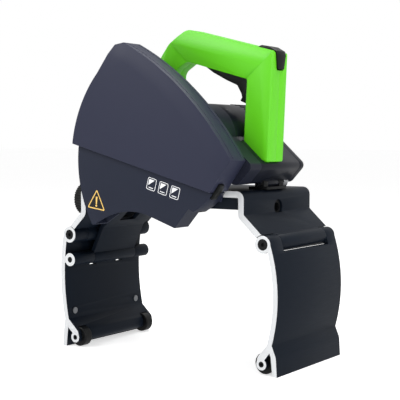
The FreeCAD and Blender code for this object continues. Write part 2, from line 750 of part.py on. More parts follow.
def make_guard_tab():
    """Thumb tab that lifts the swinging guard by hand, beside the cover's right wall."""
    x, z = cover_right_low[0] + 2 * gap, cover_right_low[1]
    high = at(cover_arc_centre[0] + cover_arc_r * math.cos(math.radians(cover_right_angle)),
              cover_arc_centre[1] + cover_arc_r * math.sin(math.radians(cover_right_angle)))
    along = (high - at(*cover_right_low)).normalize()
    across = Vector(along.z, 0, -along.x)
    corners = []
    for up, out, radius in ((-9, -6, 0), (13, 0, 0), (13, 2.6, 1),
                            (5, 4.5, 1.5), (-1, 3.5, 1.5), (-9, 3, 1.5)):
        point = at(x, z) + along * up + across * out
        corners.append((point.x, point.z, radius))
    y0 = lower_front_y + 3
    tab = prism(corners, y0, y0 + guard_tab_width)
    room = Part.Face(cover_outline(y0).makeOffset2D(gap)).extrude(Vector(0, guard_tab_width, 0))
    tab = tab.cut([rod_y(guard_pivot, y0, y0 + guard_tab_width, lower_right_r), room])
    return max(tab.Solids, key=lambda solid: solid.Volume)


# ---------------------------------------------------------------- gearbox, spindle and blade
def gearbox_outline(grow, y0, y1):
    """Disc round the spindle gear, disc round the pinion and the guard's bearing disc."""
    pinion_r = gear_module * pinion_teeth / 2 + gear_module + gearbox_wall + 6
    return joined([rod_y(spindle, y0, y1, gearbox_r + grow), rod_y(motor_axis, y0, y1, pinion_r + grow)])


def make_back_plate():
    """Sheet that closes the guard at the back, round the gearbox, and reaches down through its mouth."""
    y0 = cover_back_y - back_plate_wall
    face = Part.Face(cover_outline(y0).makeOffset2D(-cover_wall - fit))
    plate = face.extrude(Vector(0, back_plate_wall, 0))
    mouth_x0 = guard_pivot[0] - cover_left_r + cover_wall + skirt_inset
    mouth_x1 = cover_right_low[0] - mouth_right - gap
    skirt = box(mouth_x0, mouth_x1, y0, cover_back_y, skirt_z, cover_seam_z + cover_wall + 1)
    skirt = skirt.common(rod_y(guard_pivot, y0, cover_back_y, lower_left_r - lower_wall - skirt_inset))
    disc = rod_y(guard_pivot, y0, cover_back_y, lower_right_r - lower_wall - 2 * gap)
    disc = disc.common(box(mouth_x0, mouth_x1, y0, cover_back_y, 0, cover_seam_z + cover_wall + 1))
    plate = joined([plate, disc, skirt])
    return plate.cut(gearbox_outline(fit, y0 - 1, cover_back_y + 1)).removeSplitter()


def motor_section(grow, y0, y1):
    """Barrel round the motor with a tapered arm towards the hinge; grow shrinks it when negative."""
    barrel = rod_y(motor_axis, y0, y1, motor_r + grow)
    arm = prism([(arm_top[0], arm_top[1]), (arm_tip[0], arm_tip[1], 7), (arm_low[0], arm_low[1], 8),
                 (motor_axis[0] + 14, motor_axis[1] - motor_r + 1.2)], y0, y1)
    if grow:
        arm = prism([(arm_top[0] + 1.0 * grow, arm_top[1] + 1.6 * grow),
                     (arm_tip[0] + 2.2 * grow, arm_tip[1] + 0.4 * grow, 5),
                     (arm_low[0] + 0.6 * grow, arm_low[1] - 1.8 * grow, 6),
                     (motor_axis[0] + 14, motor_axis[1] - motor_r + 1.2 - 1.4 * grow)], y0, y1)
    return joined([barrel, arm])


def hinge_relief(y0, y1, radius):
    return rod_y(saw_hinge, y0, y1, radius)


def make_gearbox_case():
    """Casting behind the guard: gear back wall, spindle boss and motor flange."""
    back = gearbox_outline(0, lower_back_y + 0.6, cover_back_y)
    boss = rod_y(spindle, cover_back_y, spindle_boss_y, spindle_boss_r)
    bridge_web = prism([(spindle[0] + 4, spindle[1] + spindle_boss_r), (spindle[0] + 4, spindle[1] - 16),
                        (motor_axis[0] - 10, motor_axis[1] - motor_r + 4),
                        (motor_axis[0] - 6, motor_axis[1] + 30)],
                       cover_back_y, spindle_boss_y - 6)
    flange = motor_section(0, cover_back_y, motor_front_y)
    hollow = motor_section(-motor_wall, cover_back_y + 8, motor_front_y + 1)
    neck = tube_y(motor_axis, cover_back_y + 8, fan_y - 2, rotor_bearing_r + 3, rotor_bearing_r)
    case = joined([back, boss, bridge_web, flange]).cut(hollow)
    case = joined([case, neck])
    case = case.cut(rod_y(spindle, spindle_boss_y - bearing_width - 3, spindle_boss_y + 1, bearing_r))
    case = case.cut(rod_y(spindle, lower_back_y - 1, spindle_boss_y, spindle_r + 1.5))
    case = case.cut(rod_y(motor_axis, lower_back_y - 1, fan_y, shaft_r + 3))
    case = case.cut(rod_y(motor_axis, cover_back_y + 8, fan_y, rotor_bearing_r))
    return case.cut(lock_bore(0)).removeSplitter()


def lock_bore(extra):
    """Passage for the spindle lock button through the boss above the spindle."""
    x = spindle[0] + lock_offset[0]
    z = spindle[1] + lock_offset[1]
    return rod_y((x, z), lower_back_y - 1, spindle_boss_y + 1, lock_pin_r + run + extra)


def make_lock_button():
    """Sprung button whose pin drops into one of the four holes of the spindle gear."""
    x = spindle[0] + lock_offset[0]
    z = spindle[1] + lock_offset[1]
    pin = rod_y((x, z), gear_front_y + gear_width + lock_button_gap, lock_head_y, lock_pin_r)
    head = rod_y((x, z), lock_head_y, lock_head_y + lock_head_h, lock_head_r)
    return joined([pin, head])


def make_gearbox_cover():
    """Cup that closes the gears on the blade side."""
    outer = gearbox_outline(0, gearbox_front_y, lower_back_y + 0.6)
    inner = gearbox_outline(-gearbox_wall, gearbox_front_y + gearbox_wall, lower_back_y + 1.6)
    return outer.cut(inner).cut(rod_y(spindle, gearbox_front_y - 1, 0, seal_r)).removeSplitter()


def make_blade():
    """Toothed cutting disc with gullets and a bore."""
    profile = []
    pitch = 2 * math.pi / blade_teeth
    for i in range(blade_teeth):
        for share, r in ((0.0, blade_r), (0.42, blade_r - 1.2), (0.62, blade_r - 5.5), (0.92, blade_r - 4.5)):
            angle = (i + share) * pitch
            profile.append((spindle[0] + r * math.cos(angle), spindle[1] + r * math.sin(angle)))
    half = blade_thick / 2
    blade = prism(profile, blade_y - half, blade_y + half)
    blade = blade.cut(rod_y(spindle, blade_y - 2, blade_y + 2, blade_bore_r))
    return blade


def make_flanges():
    half = blade_thick / 2
    inner = tube_y(spindle, blade_y + half, gearbox_front_y - 0.8, flange_r, spindle_r)
    outer = rod_y(spindle, blade_y - half - 3.0, blade_y - half, flange_r)
    outer = outer.cut(rod_y(spindle, blade_y - 10, blade_y + 10, bolt_r))
    return Part.makeCompound([inner, outer])


def make_spindle():
    """Stepped spindle; its nose centres the blade and takes the blade bolt."""
    half = blade_thick / 2
    body = rod_y(spindle, gearbox_front_y - 0.8, spindle_boss_y - 1, spindle_r)
    nose = rod_y(spindle, blade_y - half, gearbox_front_y, blade_bore_r - 0.02)
    nose = nose.cut(tube_y(spindle, blade_y + half, gearbox_front_y + 1, blade_bore_r + 1, spindle_r))
    whole = joined([body, nose])
    return whole.cut(rod_y(spindle, blade_y - 5, blade_y + 14, bolt_r))


def make_blade_bolt():
    half = blade_thick / 2
    face = blade_y - half - 3.0
    return cap_screw_y(spindle, face, -1, 7.0, 5.0, bolt_r, 15.0, 3.0)


def make_spindle_gear():
    wheel = gear(spindle, gear_front_y, gear_width, gear_teeth, gear_module, spindle_r, motor_angle)
    x, z = spindle
    for i in range(4):
        angle = math.radians(90 * i) + math.atan2(lock_offset[1], lock_offset[0])
        reach = math.hypot(*lock_offset)
        hole = (x + reach * math.cos(angle), z + reach * math.sin(angle))
        wheel = wheel.cut(rod_y(hole, gear_front_y - 1, gear_front_y + gear_width + 1, lock_pin_r + 0.5))
    return wheel


def ball_bearing(place, y0, width, outer, inner):
    """Bearing drawn as one closed ring with a groove in each face for its shield."""
    ring = tube_y(place, y0, y0 + width, outer, inner)
    groove_in = inner + (outer - inner) * 0.35
    groove_out = inner + (outer - inner) * 0.7
    for start in (y0 - 1, y0 + width - 0.6):
        ring = ring.cut(tube_y(place, start, start + 1.6, groove_out, groove_in))
    return ring


# ---------------------------------------------------------------- motor
def make_motor_housing():
    outer = motor_section(0, motor_front_y, motor_back_y)
    inner = motor_section(-motor_wall, motor_front_y - 1, motor_back_y + 1)
    shell = outer.cut(inner)
    floor = motor_section(-motor_wall, motor_front_y, motor_back_y)
    block = floor.common(rod_y(saw_hinge, lug_start - 14, lug_end + 30, relief_r + 3))
    shell = shell.fuse(block).removeSplitter()
    shell = shell.cut(hinge_relief(lug_start - ear_thick - 4, saw_pin_end + 2, relief_r))
    web = prism([(saw_hinge[0] - lug_r, saw_hinge[1]), (saw_hinge[0] + lug_r - 1, saw_hinge[1]),
                 (saw_hinge[0] + 4, saw_hinge[1] + relief_r + 3),
                 (saw_hinge[0] - 9, saw_hinge[1] + relief_r + 3)],
                lug_start, lug_end)
    lug = rod_y(saw_hinge, lug_start, lug_end, lug_r)
    shell = shell.fuse([web.common(rod_y(saw_hinge, lug_start, lug_end, relief_r + 2)), lug]).removeSplitter()
    return shell.cut(rod_y(saw_hinge, 0, gripper_width, saw_pin_r + run))


def make_end_cap():
    """End cap of the motor: a stepped rear face with two rows of air slots."""
    rim = motor_section(0, motor_back_y, motor_end_y - end_cap_step)
    cap = rim.fuse(motor_section(-end_cap_step, motor_back_y, motor_end_y)).removeSplitter()
    hollow = motor_section(-motor_wall, motor_back_y - 1, motor_end_y - 4)
    cap = cap.cut(hollow)
    seat = tube_y(motor_axis, motor_back_y + 1, motor_end_y - 3.9, rotor_bearing_r + 3, rotor_bearing_r)
    cap = cap.fuse(seat).removeSplitter()
    for row in range(-3, 4):
        z = motor_axis[1] + row * vent_pitch
        half = vent_outer - abs(row) * 3.0
        for x0, x1 in ((-half, -vent_inner), (vent_inner, half)):
            cap = cap.cut(box(motor_axis[0] + x0, motor_axis[0] + x1, motor_end_y - 5, motor_end_y + 1,
                              z - vent_width / 2, z + vent_width / 2))
    return cap


def make_stator():
    return tube_y(motor_axis, stator_y0, stator_y1, motor_r - motor_wall - fit, stator_bore_r)


def make_armature():
    slots = 12
    core = tube_y(motor_axis, stator_y0 + 3, stator_y1 - 3, stator_bore_r - 1.0, shaft_r)
    for i in range(slots):
        angle = 2 * math.pi * i / slots
        x = motor_axis[0] + (stator_bore_r - 1.5) * math.cos(angle)
        z = motor_axis[1] + (stator_bore_r - 1.5) * math.sin(angle)
        core = core.cut(rod_y((x, z), stator_y0, stator_y1, 2.2))
    return core


def make_rotor_shaft():
    shaft = rod_y(motor_axis, gear_front_y, motor_end_y - 5, shaft_r)
    mesh_deg = motor_angle + 180 + 180 / pinion_teeth
    pinion = gear(motor_axis, gear_front_y, gear_width, pinion_teeth, gear_module, shaft_r - 1, mesh_deg)
    return joined([shaft, pinion])


def make_fan():
    disc = tube_y(motor_axis, fan_y + 8, fan_y + 10, fan_r, shaft_r)
    blades = []
    for i in range(9):
        wing = box(motor_axis[0] + 10, motor_axis[0] + fan_r - 1, fan_y, fan_y + 8.5,
                   motor_axis[1] - 1, motor_axis[1] + 1)
        wing.rotate(at(*motor_axis), Vector(0, 1, 0), 40 * i)
        blades.append(wing)
    return joined([disc, tube_y(motor_axis, fan_y, fan_y + 10, 11.0, shaft_r)] + blades)


def make_brush_holders():
    pair = []
    for side in (-1, 1):
        ends = sorted((side * brush_inner_r, side * fan_r))
        holder = box(motor_axis[0] + ends[0], motor_axis[0] + ends[1], commutator_y + 2, commutator_y + 12,
                     motor_axis[1] - 5, motor_axis[1] + 5)
        pair.append(holder)
    return Part.makeCompound(pair)


# ---------------------------------------------------------------- handle
def handle_outlines():
    outer = [(131.4, 263.8, 3), (102.3, 397.4, 5), (-34.6, 396.6, 16), (-56.5, 372.2, 22), (-68.0, 345.0, 20),
             (-52.0, 312.0, 22), (0.0, 276.0, 3), (60.0, 255.0)]
    inner = [(88.9, 280.0), (73.6, 355.3, 3), (-25.0, 356.4, 12), (-42.0, 338.0, 12), (-32.0, 312.0, 12),
             (14.0, 291.0), (60.0, 262.0)]
    return outer, inner


def facets(y_face, sign, inset):
    """Wedges that give the grip and its front leg a ridge: the faces fall back on both sides of it."""
    y = y_face + sign * inset
    out = y_face - sign * handle_thick

    def wedge(points):
        return prism_x(points, -handle_reach, handle_reach)
    bar_up = wedge([(y, ridge_z), (out, ridge_z), (out, ridge_z + facet_reach),
                    (y + sign * ridge_slope_up * facet_reach, ridge_z + facet_reach)])
    bar_low = wedge([(y, ridge_z), (out, ridge_z), (out, ridge_z - facet_reach),
                     (y + sign * ridge_slope_low * facet_reach, ridge_z - facet_reach)])
    bar = joined([bar_up, bar_low]).common(prism(grip_zone, handle_front_y - 1, handle_back_y + 1))
    low = handle_outlines()[0][-1][1]
    leg_points = [(ridge_x, y), (ridge_x + leg_depth / leg_slope, y + sign * leg_depth),
                  (handle_reach, y + sign * leg_depth), (handle_reach, out), (-handle_reach, out),
                  (-handle_reach, y + sign * leg_slope_out * (handle_reach + ridge_x))]
    leg_face = Part.Face(Part.makePolygon([Vector(px, py, low) for px, py in leg_points + leg_points[:1]]))
    leg = leg_face.extrude(Vector(0, 0, 2 * facet_reach + ridge_z - low))
    leg = leg.common(prism(leg_zone, handle_front_y - 1, handle_back_y + 1))
    return [bar, leg]


def handle_solid(grow, y0, y1):
    """Closed D of the handle; a negative grow gives the hollow inside its wall."""
    outer, inner = handle_outlines()
    outer_face = Part.Face(outline(outer, y0))
    inner_face = Part.Face(outline(inner, y0))
    if grow:
        outer_face = Part.Face(outer_face.OuterWire.makeOffset2D(grow))
        inner_face = Part.Face(inner_face.OuterWire.makeOffset2D(-grow))
    step = Vector(0, y1 - y0, 0)
    return outer_face.extrude(step).cut(inner_face.extrude(step))


def make_handle_half(front):
    """One half shell of the handle, standing on the motor housing."""
    y_face = handle_front_y if front else handle_back_y
    sign = 1 if front else -1
    y0, y1 = sorted((y_face, handle_mid_y))
    shell = handle_solid(0, y0, y1)
    edges = [e for e in shell.Edges if all(abs(v.Y - y_face) < 1e-6 for v in e.Vertexes)
             and max(v.Z for v in e.Vertexes) > 300 and e.Length > 12]
    shell = shell.makeChamfer(handle_chamfer, edges)
    shell = shell.cut(facets(y_face, sign, 0))
    h0, h1 = sorted((y_face + sign * handle_wall, handle_mid_y + sign * 1))
    shell = shell.cut(handle_solid(-handle_wall, h0, h1).cut(facets(y_face, sign, handle_wall)))
    shell = shell.cut(motor_section(fit, motor_front_y - 20, motor_end_y))
    half_slot = trigger_width / 2 + gap
    slot = box(-60, 120, handle_mid_y - half_slot, handle_mid_y + half_slot, 325, 372)
    shell = shell.cut(slot.common(trigger_sweep()))
    for turn in (0, lock_press / 2, lock_press):
        shell = shell.cut(turned_lock(lock_shape(lock_width / 2 + gap, gap), turn))
    shell = shell.cut(rod_y(lock_pivot, handle_mid_y - lock_pin_reach, handle_mid_y + lock_pin_reach,
                            lock_pivot_r + fit / 2))
    if not front:
        sink_y = handle_back_y - handle_screw_sink
        shell = shell.cut([rod_y(place, sink_y, handle_back_y + 1, handle_screw_r + fit)
                           for place in handle_screw_places])
        shell = shell.cut([rod_y(place, handle_mid_y, handle_back_y, handle_shank_r)
                           for place in handle_screw_places])
    return max(shell.Solids, key=lambda solid: solid.Volume)


def trigger_points():
    return [(0.0, 361.5, 2), (3.5, 355.8), (16.6, 351.3), (38.5, 346.6), (56.5, 344.0, 3), (65.0, 335.5, 3),
            (67.6, 331.0), (65.8, 326.0, 1.5), (79.0, 324.5), (78.0, 340.0), (74.5, 361.5, 2)]


def make_trigger():
    """Paddle trigger, hinged at its front end inside the grip."""
    trigger = prism(trigger_points(), handle_mid_y - trigger_width / 2, handle_mid_y + trigger_width / 2)
    return trigger.cut(rod_y(trigger_pivot, 0, gripper_width, pivot_pin_r + run))


def trigger_sweep():
    """Room that the trigger needs from rest to fully pressed."""
    half = trigger_width / 2 + gap
    room = prism([(-3.0, 350.0), (86.0, 318.0), (84.0, 376.0), (-3.0, 366.0)], handle_mid_y - half,
                 handle_mid_y + half)
    return room


def lock_shape(half_width_y, grow):
    """Lock-off lever over the top rear corner of the handle, narrower towards its lower end."""
    points = [(76.5 - grow, 392.0 - 2 * grow, 1), (76.5 - grow, 398.0 + grow), (80.5, 400.4 + grow),
              (90.5, 401.0 + grow, 2), (101.8, 398.0 + grow, 2), (104.6 + grow, 394.0, 1),
              (108.6 + grow, 376.5 - grow, 1),
              (101.5 - grow, 375.0 - grow, 1), (95.0 - grow, 384.0 - grow), (92.0 - grow, 388.0 - grow)]
    lever = prism(points, handle_mid_y - half_width_y, handle_mid_y + half_width_y)
    narrow = half_width_y - lock_taper
    taper = prism_x([(handle_mid_y - half_width_y, 410.0), (handle_mid_y + half_width_y, 410.0),
                     (handle_mid_y + half_width_y, 398.0), (handle_mid_y + narrow, 370.0),
                     (handle_mid_y - narrow, 370.0), (handle_mid_y - half_width_y, 398.0)], 0, handle_reach)
    return lever.common(taper)


def turned_lock(shape, degrees):
    turned = shape.copy()
    turned.rotate(at(*lock_pivot), Vector(0, 1, 0), degrees)
    return turned


def make_lock_lever():
    lever = lock_shape(lock_width / 2, 0)
    return lever.cut(rod_y(lock_pivot, handle_front_y, handle_back_y, lock_pivot_r + run))


def make_pivot_pins():
    """Pins of the trigger and the lock-off lever, held between the handle halves."""
    reach = handle_thick / 2 - handle_wall - leg_depth
    lock_reach = lock_pin_reach - fit
    return Part.makeCompound([
        rod_y(trigger_pivot, handle_mid_y - reach, handle_mid_y + reach, pivot_pin_r),
        rod_y(lock_pivot, handle_mid_y - lock_reach, handle_mid_y + lock_reach, lock_pivot_r)])


def make_switch():
    return box(12, 52, handle_mid_y - 11, handle_mid_y + 11, 371.5, 388)


def make_handle_screws():
    screws = []
    for place in handle_screw_places:
        screws.append(cap_screw_y(place, handle_back_y - handle_screw_sink, 1, handle_screw_r, 1.4,
                                  handle_shank_r, 7.0, 1.7))
    return screws


def saw_nodes():
    parts = {}
    parts["blade_cover"] = make_cover()
    parts["guard_back_plate"] = make_back_plate()
    parts["lower_guard"] = make_lower_guard()
    parts["guard_tab"] = make_guard_tab()
    parts["gearbox_case"] = make_gearbox_case()
    parts["gearbox_cover"] = make_gearbox_cover()
    parts["cutting_disc"] = make_blade()
    parts["disc_flanges"] = make_flanges()
    parts["disc_bolt"] = make_blade_bolt()
    parts["spindle"] = make_spindle()
    parts["spindle_gear"] = make_spindle_gear()
    parts["spindle_lock_button"] = make_lock_button()
    parts["spindle_bearings"] = Part.makeCompound([
        ball_bearing(spindle, spindle_boss_y - bearing_width - 3, bearing_width, bearing_r, spindle_r + run),
        ball_bearing(spindle, gearbox_front_y, gearbox_wall, seal_r, spindle_r + run)])
    parts["rotor_shaft"] = make_rotor_shaft()
    parts["armature"] = make_armature()
    parts["commutator"] = tube_y(motor_axis, commutator_y, commutator_y + 14, 12.0, shaft_r)
    parts["cooling_fan"] = make_fan()
    parts["rotor_bearings"] = Part.makeCompound([
        ball_bearing(motor_axis, cover_back_y + 8.2, 7, rotor_bearing_r, shaft_r + run),
        ball_bearing(motor_axis, motor_back_y + 1.5, 7, rotor_bearing_r, shaft_r + run)])
    parts["stator"] = make_stator()
    parts["brush_holders"] = make_brush_holders()
    parts["motor_housing"] = make_motor_housing()
    parts["motor_end_cap"] = make_end_cap()
    parts["handle_front_shell"] = make_handle_half(True)
    parts["handle_rear_shell"] = make_handle_half(False)
    parts["handle_screws"] = Part.makeCompound(make_handle_screws())
    parts["trigger"] = make_trigger()
    parts["handle_pins"] = make_pivot_pins()
    parts["lock_lever"] = make_lock_lever()
    parts["power_switch"] = make_switch()
    for name, shape in parts.items():
        nodes[name] = raised(shape)


# ---------------------------------------------------------------- hand over
def gripper_nodes():
    nodes["bridge_extrusion"] = make_bridge()
    nodes["left_jaw"] = make_left_jaw()
    nodes["right_jaw"] = make_right_jaw()
    for name, hinge in (("left", hinge_left), ("right", hinge_right)):
        nodes[name + "_hinge_rod"] = hinge_rod(hinge)
    nodes["hinge_rod_screws"] = Part.makeCompound(rod_screws(hinge_left) + rod_screws(hinge_right))
    nodes["link_rod"] = rod_y(link_pin, 0.6, gripper_width - 0.6, link_rod_r)
    nodes["jaw_rivets"] = Part.makeCompound(make_rivets(-1, jaw_out_left, waist_out_left, hinge_left))
    for side_name, side in (("left", -1), ("right", 1)):
        nodes[side_name + "_axle"] = make_axle(side)
        for end_name, y0 in (("front", wheel_inset), ("rear", gripper_width - wheel_inset - wheel_width)):
            nodes["%s_%s_wheel" % (side_name, end_name)] = make_wheel(side, y0)
    nodes["link_plate"] = make_link()
    nodes["screw_carriage"] = make_carriage()
    nodes["lead_screw"] = make_lead_screw()
    nodes["clamp_knob"] = make_knob()
    nodes["threaded_bush"] = make_bush(shoulder_left_x, -1, 0)
    nodes["guide_bush"] = make_bush(shoulder_right_x, 1, 3)
    pins = []
    for end_name, y0 in (("front", beam_inset), ("rear", gripper_width - beam_inset - beam_width)):
        nodes[end_name + "_roller_beam"] = make_beam(y0)
        for x_name, x in (("left", -roller_x), ("right", roller_x)):
            nodes["%s_%s_top_roller" % (end_name, x_name)] = make_roller(x, y0)
            pins.append(rod_y((x, roller_z), y0 + 0.2, y0 + beam_width - 0.2, roller_pin_r))
    nodes["top_roller_pins"] = Part.makeCompound(pins)
    nodes["saw_hinge_bracket"] = make_hinge_bracket()
    nodes["saw_hinge_pin"] = rod_y(hinge_place, lug_start - gap - ear_thick - 2, saw_pin_end, saw_pin_r)
    nodes["lift_spring"] = make_spring()


gripper_nodes()
saw_nodes()
whole = Part.makeCompound(list(nodes.values())).optimalBoundingBox(False, False)
origin = Vector((whole.XMin + whole.XMax) / 2, (whole.YMin + whole.YMax) / 2, whole.ZMin)
os.makedirs("parts", exist_ok=True)
for name, shape in nodes.items():
    shape.translate(origin.negative())
    shape.exportStep("parts/%s.step" % name)
    print(name, len(shape.Solids), shape.isValid(), round(shape.Volume))
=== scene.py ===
# %% [markdown]
# # A portable pipe saw
# The saw sits on a gripper that clamps round a pipe. Its exact solids come from the frame: a shared model in metres
# whose bodies already move. They could be drawn again by eye, but dressing the bodies that are there keeps each piece
# in its place and lets it move.

# %% Load the frame
import json
import math
import bmesh
import bpy
from mathutils import Matrix, Vector


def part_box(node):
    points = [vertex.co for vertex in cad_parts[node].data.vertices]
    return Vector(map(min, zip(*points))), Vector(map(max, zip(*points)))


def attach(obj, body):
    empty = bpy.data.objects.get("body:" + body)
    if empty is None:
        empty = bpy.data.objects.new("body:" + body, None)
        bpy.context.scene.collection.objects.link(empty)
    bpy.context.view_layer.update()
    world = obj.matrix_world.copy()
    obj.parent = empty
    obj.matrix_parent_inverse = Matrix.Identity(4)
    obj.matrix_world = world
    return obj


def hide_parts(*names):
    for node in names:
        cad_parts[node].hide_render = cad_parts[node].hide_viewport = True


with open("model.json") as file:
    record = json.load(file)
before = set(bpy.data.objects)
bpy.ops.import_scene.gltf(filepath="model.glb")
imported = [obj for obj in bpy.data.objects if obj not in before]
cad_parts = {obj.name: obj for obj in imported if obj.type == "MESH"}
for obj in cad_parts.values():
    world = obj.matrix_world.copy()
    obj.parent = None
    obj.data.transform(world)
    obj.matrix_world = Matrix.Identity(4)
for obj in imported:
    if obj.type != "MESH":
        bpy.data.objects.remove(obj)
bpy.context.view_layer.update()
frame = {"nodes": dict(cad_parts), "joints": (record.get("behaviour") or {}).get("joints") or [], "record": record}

nodes = frame["nodes"]
record = frame["record"]
body_of = {node: body for body, group in record["behaviour"]["bodies"].items() for node in group}
slot_of = {entry["node"]: entry["material_slot"] for entry in record["subparts"]}

# %% [markdown]
# ## Colours and small helpers
# Paint and plastic are quoted as sRGB hex values. Blender works in linear light, so one function converts them.
# Nodes could be added by hand in the editor, but then they can't be read or repeated. So a second function adds any
# node, with its settings and its links, and a material reads as a short list.


# %% Colour and node helpers
def linear(hex_value, alpha=1.0):
    """A linear RGBA tuple from an sRGB hex value such as '#7FE340'."""
    channels = [int(hex_value[i:i + 2], 16) / 255 for i in (1, 3, 5)]
    return tuple(c / 12.92 if c <= 0.04045 else ((c + 0.055) / 1.055) ** 2.4 for c in channels) + (alpha,)


def add_node(tree, kind, settings=(), values=(), links=()):
    """Adds one node; settings are its properties, values its inputs and links its inputs' sources."""
    node = tree.nodes.new(kind)
    for name, value in dict(settings).items():
        setattr(node, name, value)
    for name, value in dict(values).items():
        node.inputs[name].default_value = value
    for name, socket in dict(links).items():
        tree.links.new(socket, node.inputs[name])
    return node


print("green grip in linear light:", [round(c, 3) for c in linear("#5FD02A")])

# %% [markdown]
# ## Finishes
# Every surface is made of three layers. A broad, faint mottling shifts the colour, as handling and moulding do.
# A fine grain tilts the surface, at a size worked out from millimetres. The roughness wanders a little, so that
# highlights break up. Stretching the grain along one axis turns it into die lines or a brushed surface. Pictures of
# metal and plastic could be wrapped round the pieces instead, but a pattern worked out from place has no seams.

# %% One function that makes a finish
MM = 0.001
MOTTLE_DETAIL, GRAIN_DETAIL = 4.0, 3.0
SMOOTHEST = 0.02
DARKER_INPUT, LIGHTER_INPUT, COLOUR_OUTPUT = 6, 7, 2


def surface(name, tint, roughness, metallic=0.0, ior=1.5, grain_mm=1.0, depth_mm=0.02, stretch=(1, 1, 1),
            mottle=0.06, mottle_mm=40.0, rough_swing=0.06, coat=0.0, coat_roughness=0.2, gloss=0.5):
    """A Principled material with mottled colour, wandering roughness and a fine grain."""
    material = bpy.data.materials.new(name)
    material.use_nodes = True
    tree = material.node_tree
    shader = tree.nodes["Principled BSDF"]
    shader.inputs["Metallic"].default_value = metallic
    if metallic < 0.5:
        shader.inputs["IOR"].default_value = ior
        shader.inputs["Specular IOR Level"].default_value = gloss
    if coat:
        shader.inputs["Coat Weight"].default_value = coat
        shader.inputs["Coat Roughness"].default_value = coat_roughness
    place = add_node(tree, "ShaderNodeTexCoord").outputs["Object"]
    broad = add_node(tree, "ShaderNodeTexNoise", values={"Scale": 1 / (mottle_mm * MM), "Detail": MOTTLE_DETAIL},
                     links={"Vector": place})
    base = linear(tint)
    darker = tuple(c * (1 - mottle) for c in base[:3]) + (1.0,)
    lighter = tuple(min(1.0, c * (1 + mottle)) for c in base[:3]) + (1.0,)
    blend = add_node(tree, "ShaderNodeMix", {"data_type": "RGBA"}, links={"Factor": broad.outputs["Fac"]})
    blend.inputs[DARKER_INPUT].default_value = darker
    blend.inputs[LIGHTER_INPUT].default_value = lighter
    tree.links.new(blend.outputs[COLOUR_OUTPUT], shader.inputs["Base Color"])
    stretched = add_node(tree, "ShaderNodeMapping", values={"Scale": stretch}, links={"Vector": place})
    grain = add_node(tree, "ShaderNodeTexNoise", values={"Scale": 1 / (grain_mm * MM), "Detail": GRAIN_DETAIL},
                     links={"Vector": stretched.outputs["Vector"]})
    swing = add_node(tree, "ShaderNodeMapRange",
                     values={"To Min": max(SMOOTHEST, roughness - rough_swing),
                             "To Max": roughness + rough_swing},
                     links={"Value": grain.outputs["Fac"]})
    tree.links.new(swing.outputs["Result"], shader.inputs["Roughness"])
    bump = add_node(tree, "ShaderNodeBump", values={"Strength": 1.0, "Distance": depth_mm * MM},
                    links={"Height": grain.outputs["Fac"]})
    tree.links.new(bump.outputs["Normal"], shader.inputs["Normal"])
    return material


print("a finish is a mottled colour, a grain and a wandering roughness")

# %% [markdown]
# ## The metals
# The gripper is extruded aluminium, anodised dark blue-grey: the die leaves lines along the extrusion, so the grain
# is stretched along Y. Its sawn ends are bare, bright metal. Pins and screws are ground or zinc-plated steel. Grain
# that is too fine to show is drawn about as coarse as it needs to be, half a millimetre or more.

# %% Metal finishes
# anodised extrusion: satin, dark blue-grey, with lines along the die
anodised = surface("anodised_aluminium_dark", "#101823", 0.44, gloss=0.2, grain_mm=0.9, depth_mm=0.012,
                   stretch=(1, 0.04, 1), mottle=0.10, mottle_mm=60, rough_swing=0.07)
# bare aluminium off the saw: nearly white, dull, with saw marks across the end
sawn_aluminium = surface("sawn_aluminium_bare", "#EEF0F2", 0.46, 0.35, grain_mm=0.8, depth_mm=0.02,
                         stretch=(0.2, 1, 1), mottle=0.05, mottle_mm=15, rough_swing=0.10)
# ground steel: bright and smooth, with fine rings round each pin
ground_steel = surface("ground_steel", "#B9BBBE", 0.28, 1.0, grain_mm=0.5, depth_mm=0.008,
                       stretch=(1, 0.1, 1), mottle=0.05, mottle_mm=12, rough_swing=0.08)
# zinc plate: soft grey shine with faint spangle
zinc_steel = surface("zinc_plated_steel", "#A9ACB0", 0.36, 1.0, grain_mm=1.2, depth_mm=0.006,
                     mottle=0.09, mottle_mm=6, rough_swing=0.12)
# turned bronze: warm, with tool lines round the bore
bronze = surface("turned_bronze", "#A67C45", 0.34, 1.0, grain_mm=0.5, depth_mm=0.01, stretch=(1, 0.1, 0.1),
                 mottle=0.08, mottle_mm=10)
# painted die casting: dark satin over a slightly pebbled skin
cast_aluminium = surface("painted_die_casting", "#1D202D", 0.42, gloss=0.3, grain_mm=1.4, depth_mm=0.03,
                         mottle=0.08, mottle_mm=20, rough_swing=0.08)
# saw plate: cold grey with grinding lines
disc_steel = surface("ground_saw_steel", "#B4B6B8", 0.3, 1.0, grain_mm=0.7, depth_mm=0.01,
                     stretch=(1, 1, 0.15), mottle=0.06, mottle_mm=25)
# powder coat: near black, low sheen, orange peel
black_steel = surface("powder_coated_steel_black", "#111214", 0.45, gloss=0.35, grain_mm=1.3, depth_mm=0.03,
                      mottle=0.08, mottle_mm=20, rough_swing=0.08)
# stacked iron sheets: dull brown-grey with lines between the sheets
winding_iron = surface("laminated_iron", "#5A524C", 0.55, 0.8, grain_mm=0.5, depth_mm=0.03,
                       stretch=(0.1, 1, 0.1))
# turned copper: warm and bright, with bars along the drum
turned_copper = surface("turned_copper", "#B87350", 0.3, 1.0, grain_mm=0.5, depth_mm=0.01,
                        stretch=(0.1, 1, 0.1))
print("metals:", len(bpy.data.materials))

# %% [markdown]
# ## The paints and plastics
# The two guards are satin paint on metal, with a faint orange peel. The grip is bright green moulded nylon, the
# motor housing a glossier dark nylon, and the knob, levers and rollers are black plastic with a fine spark grain.
# One black could serve them all, but paint, polished nylon and grained nylon catch the light differently, so each
# has its own roughness and grain.

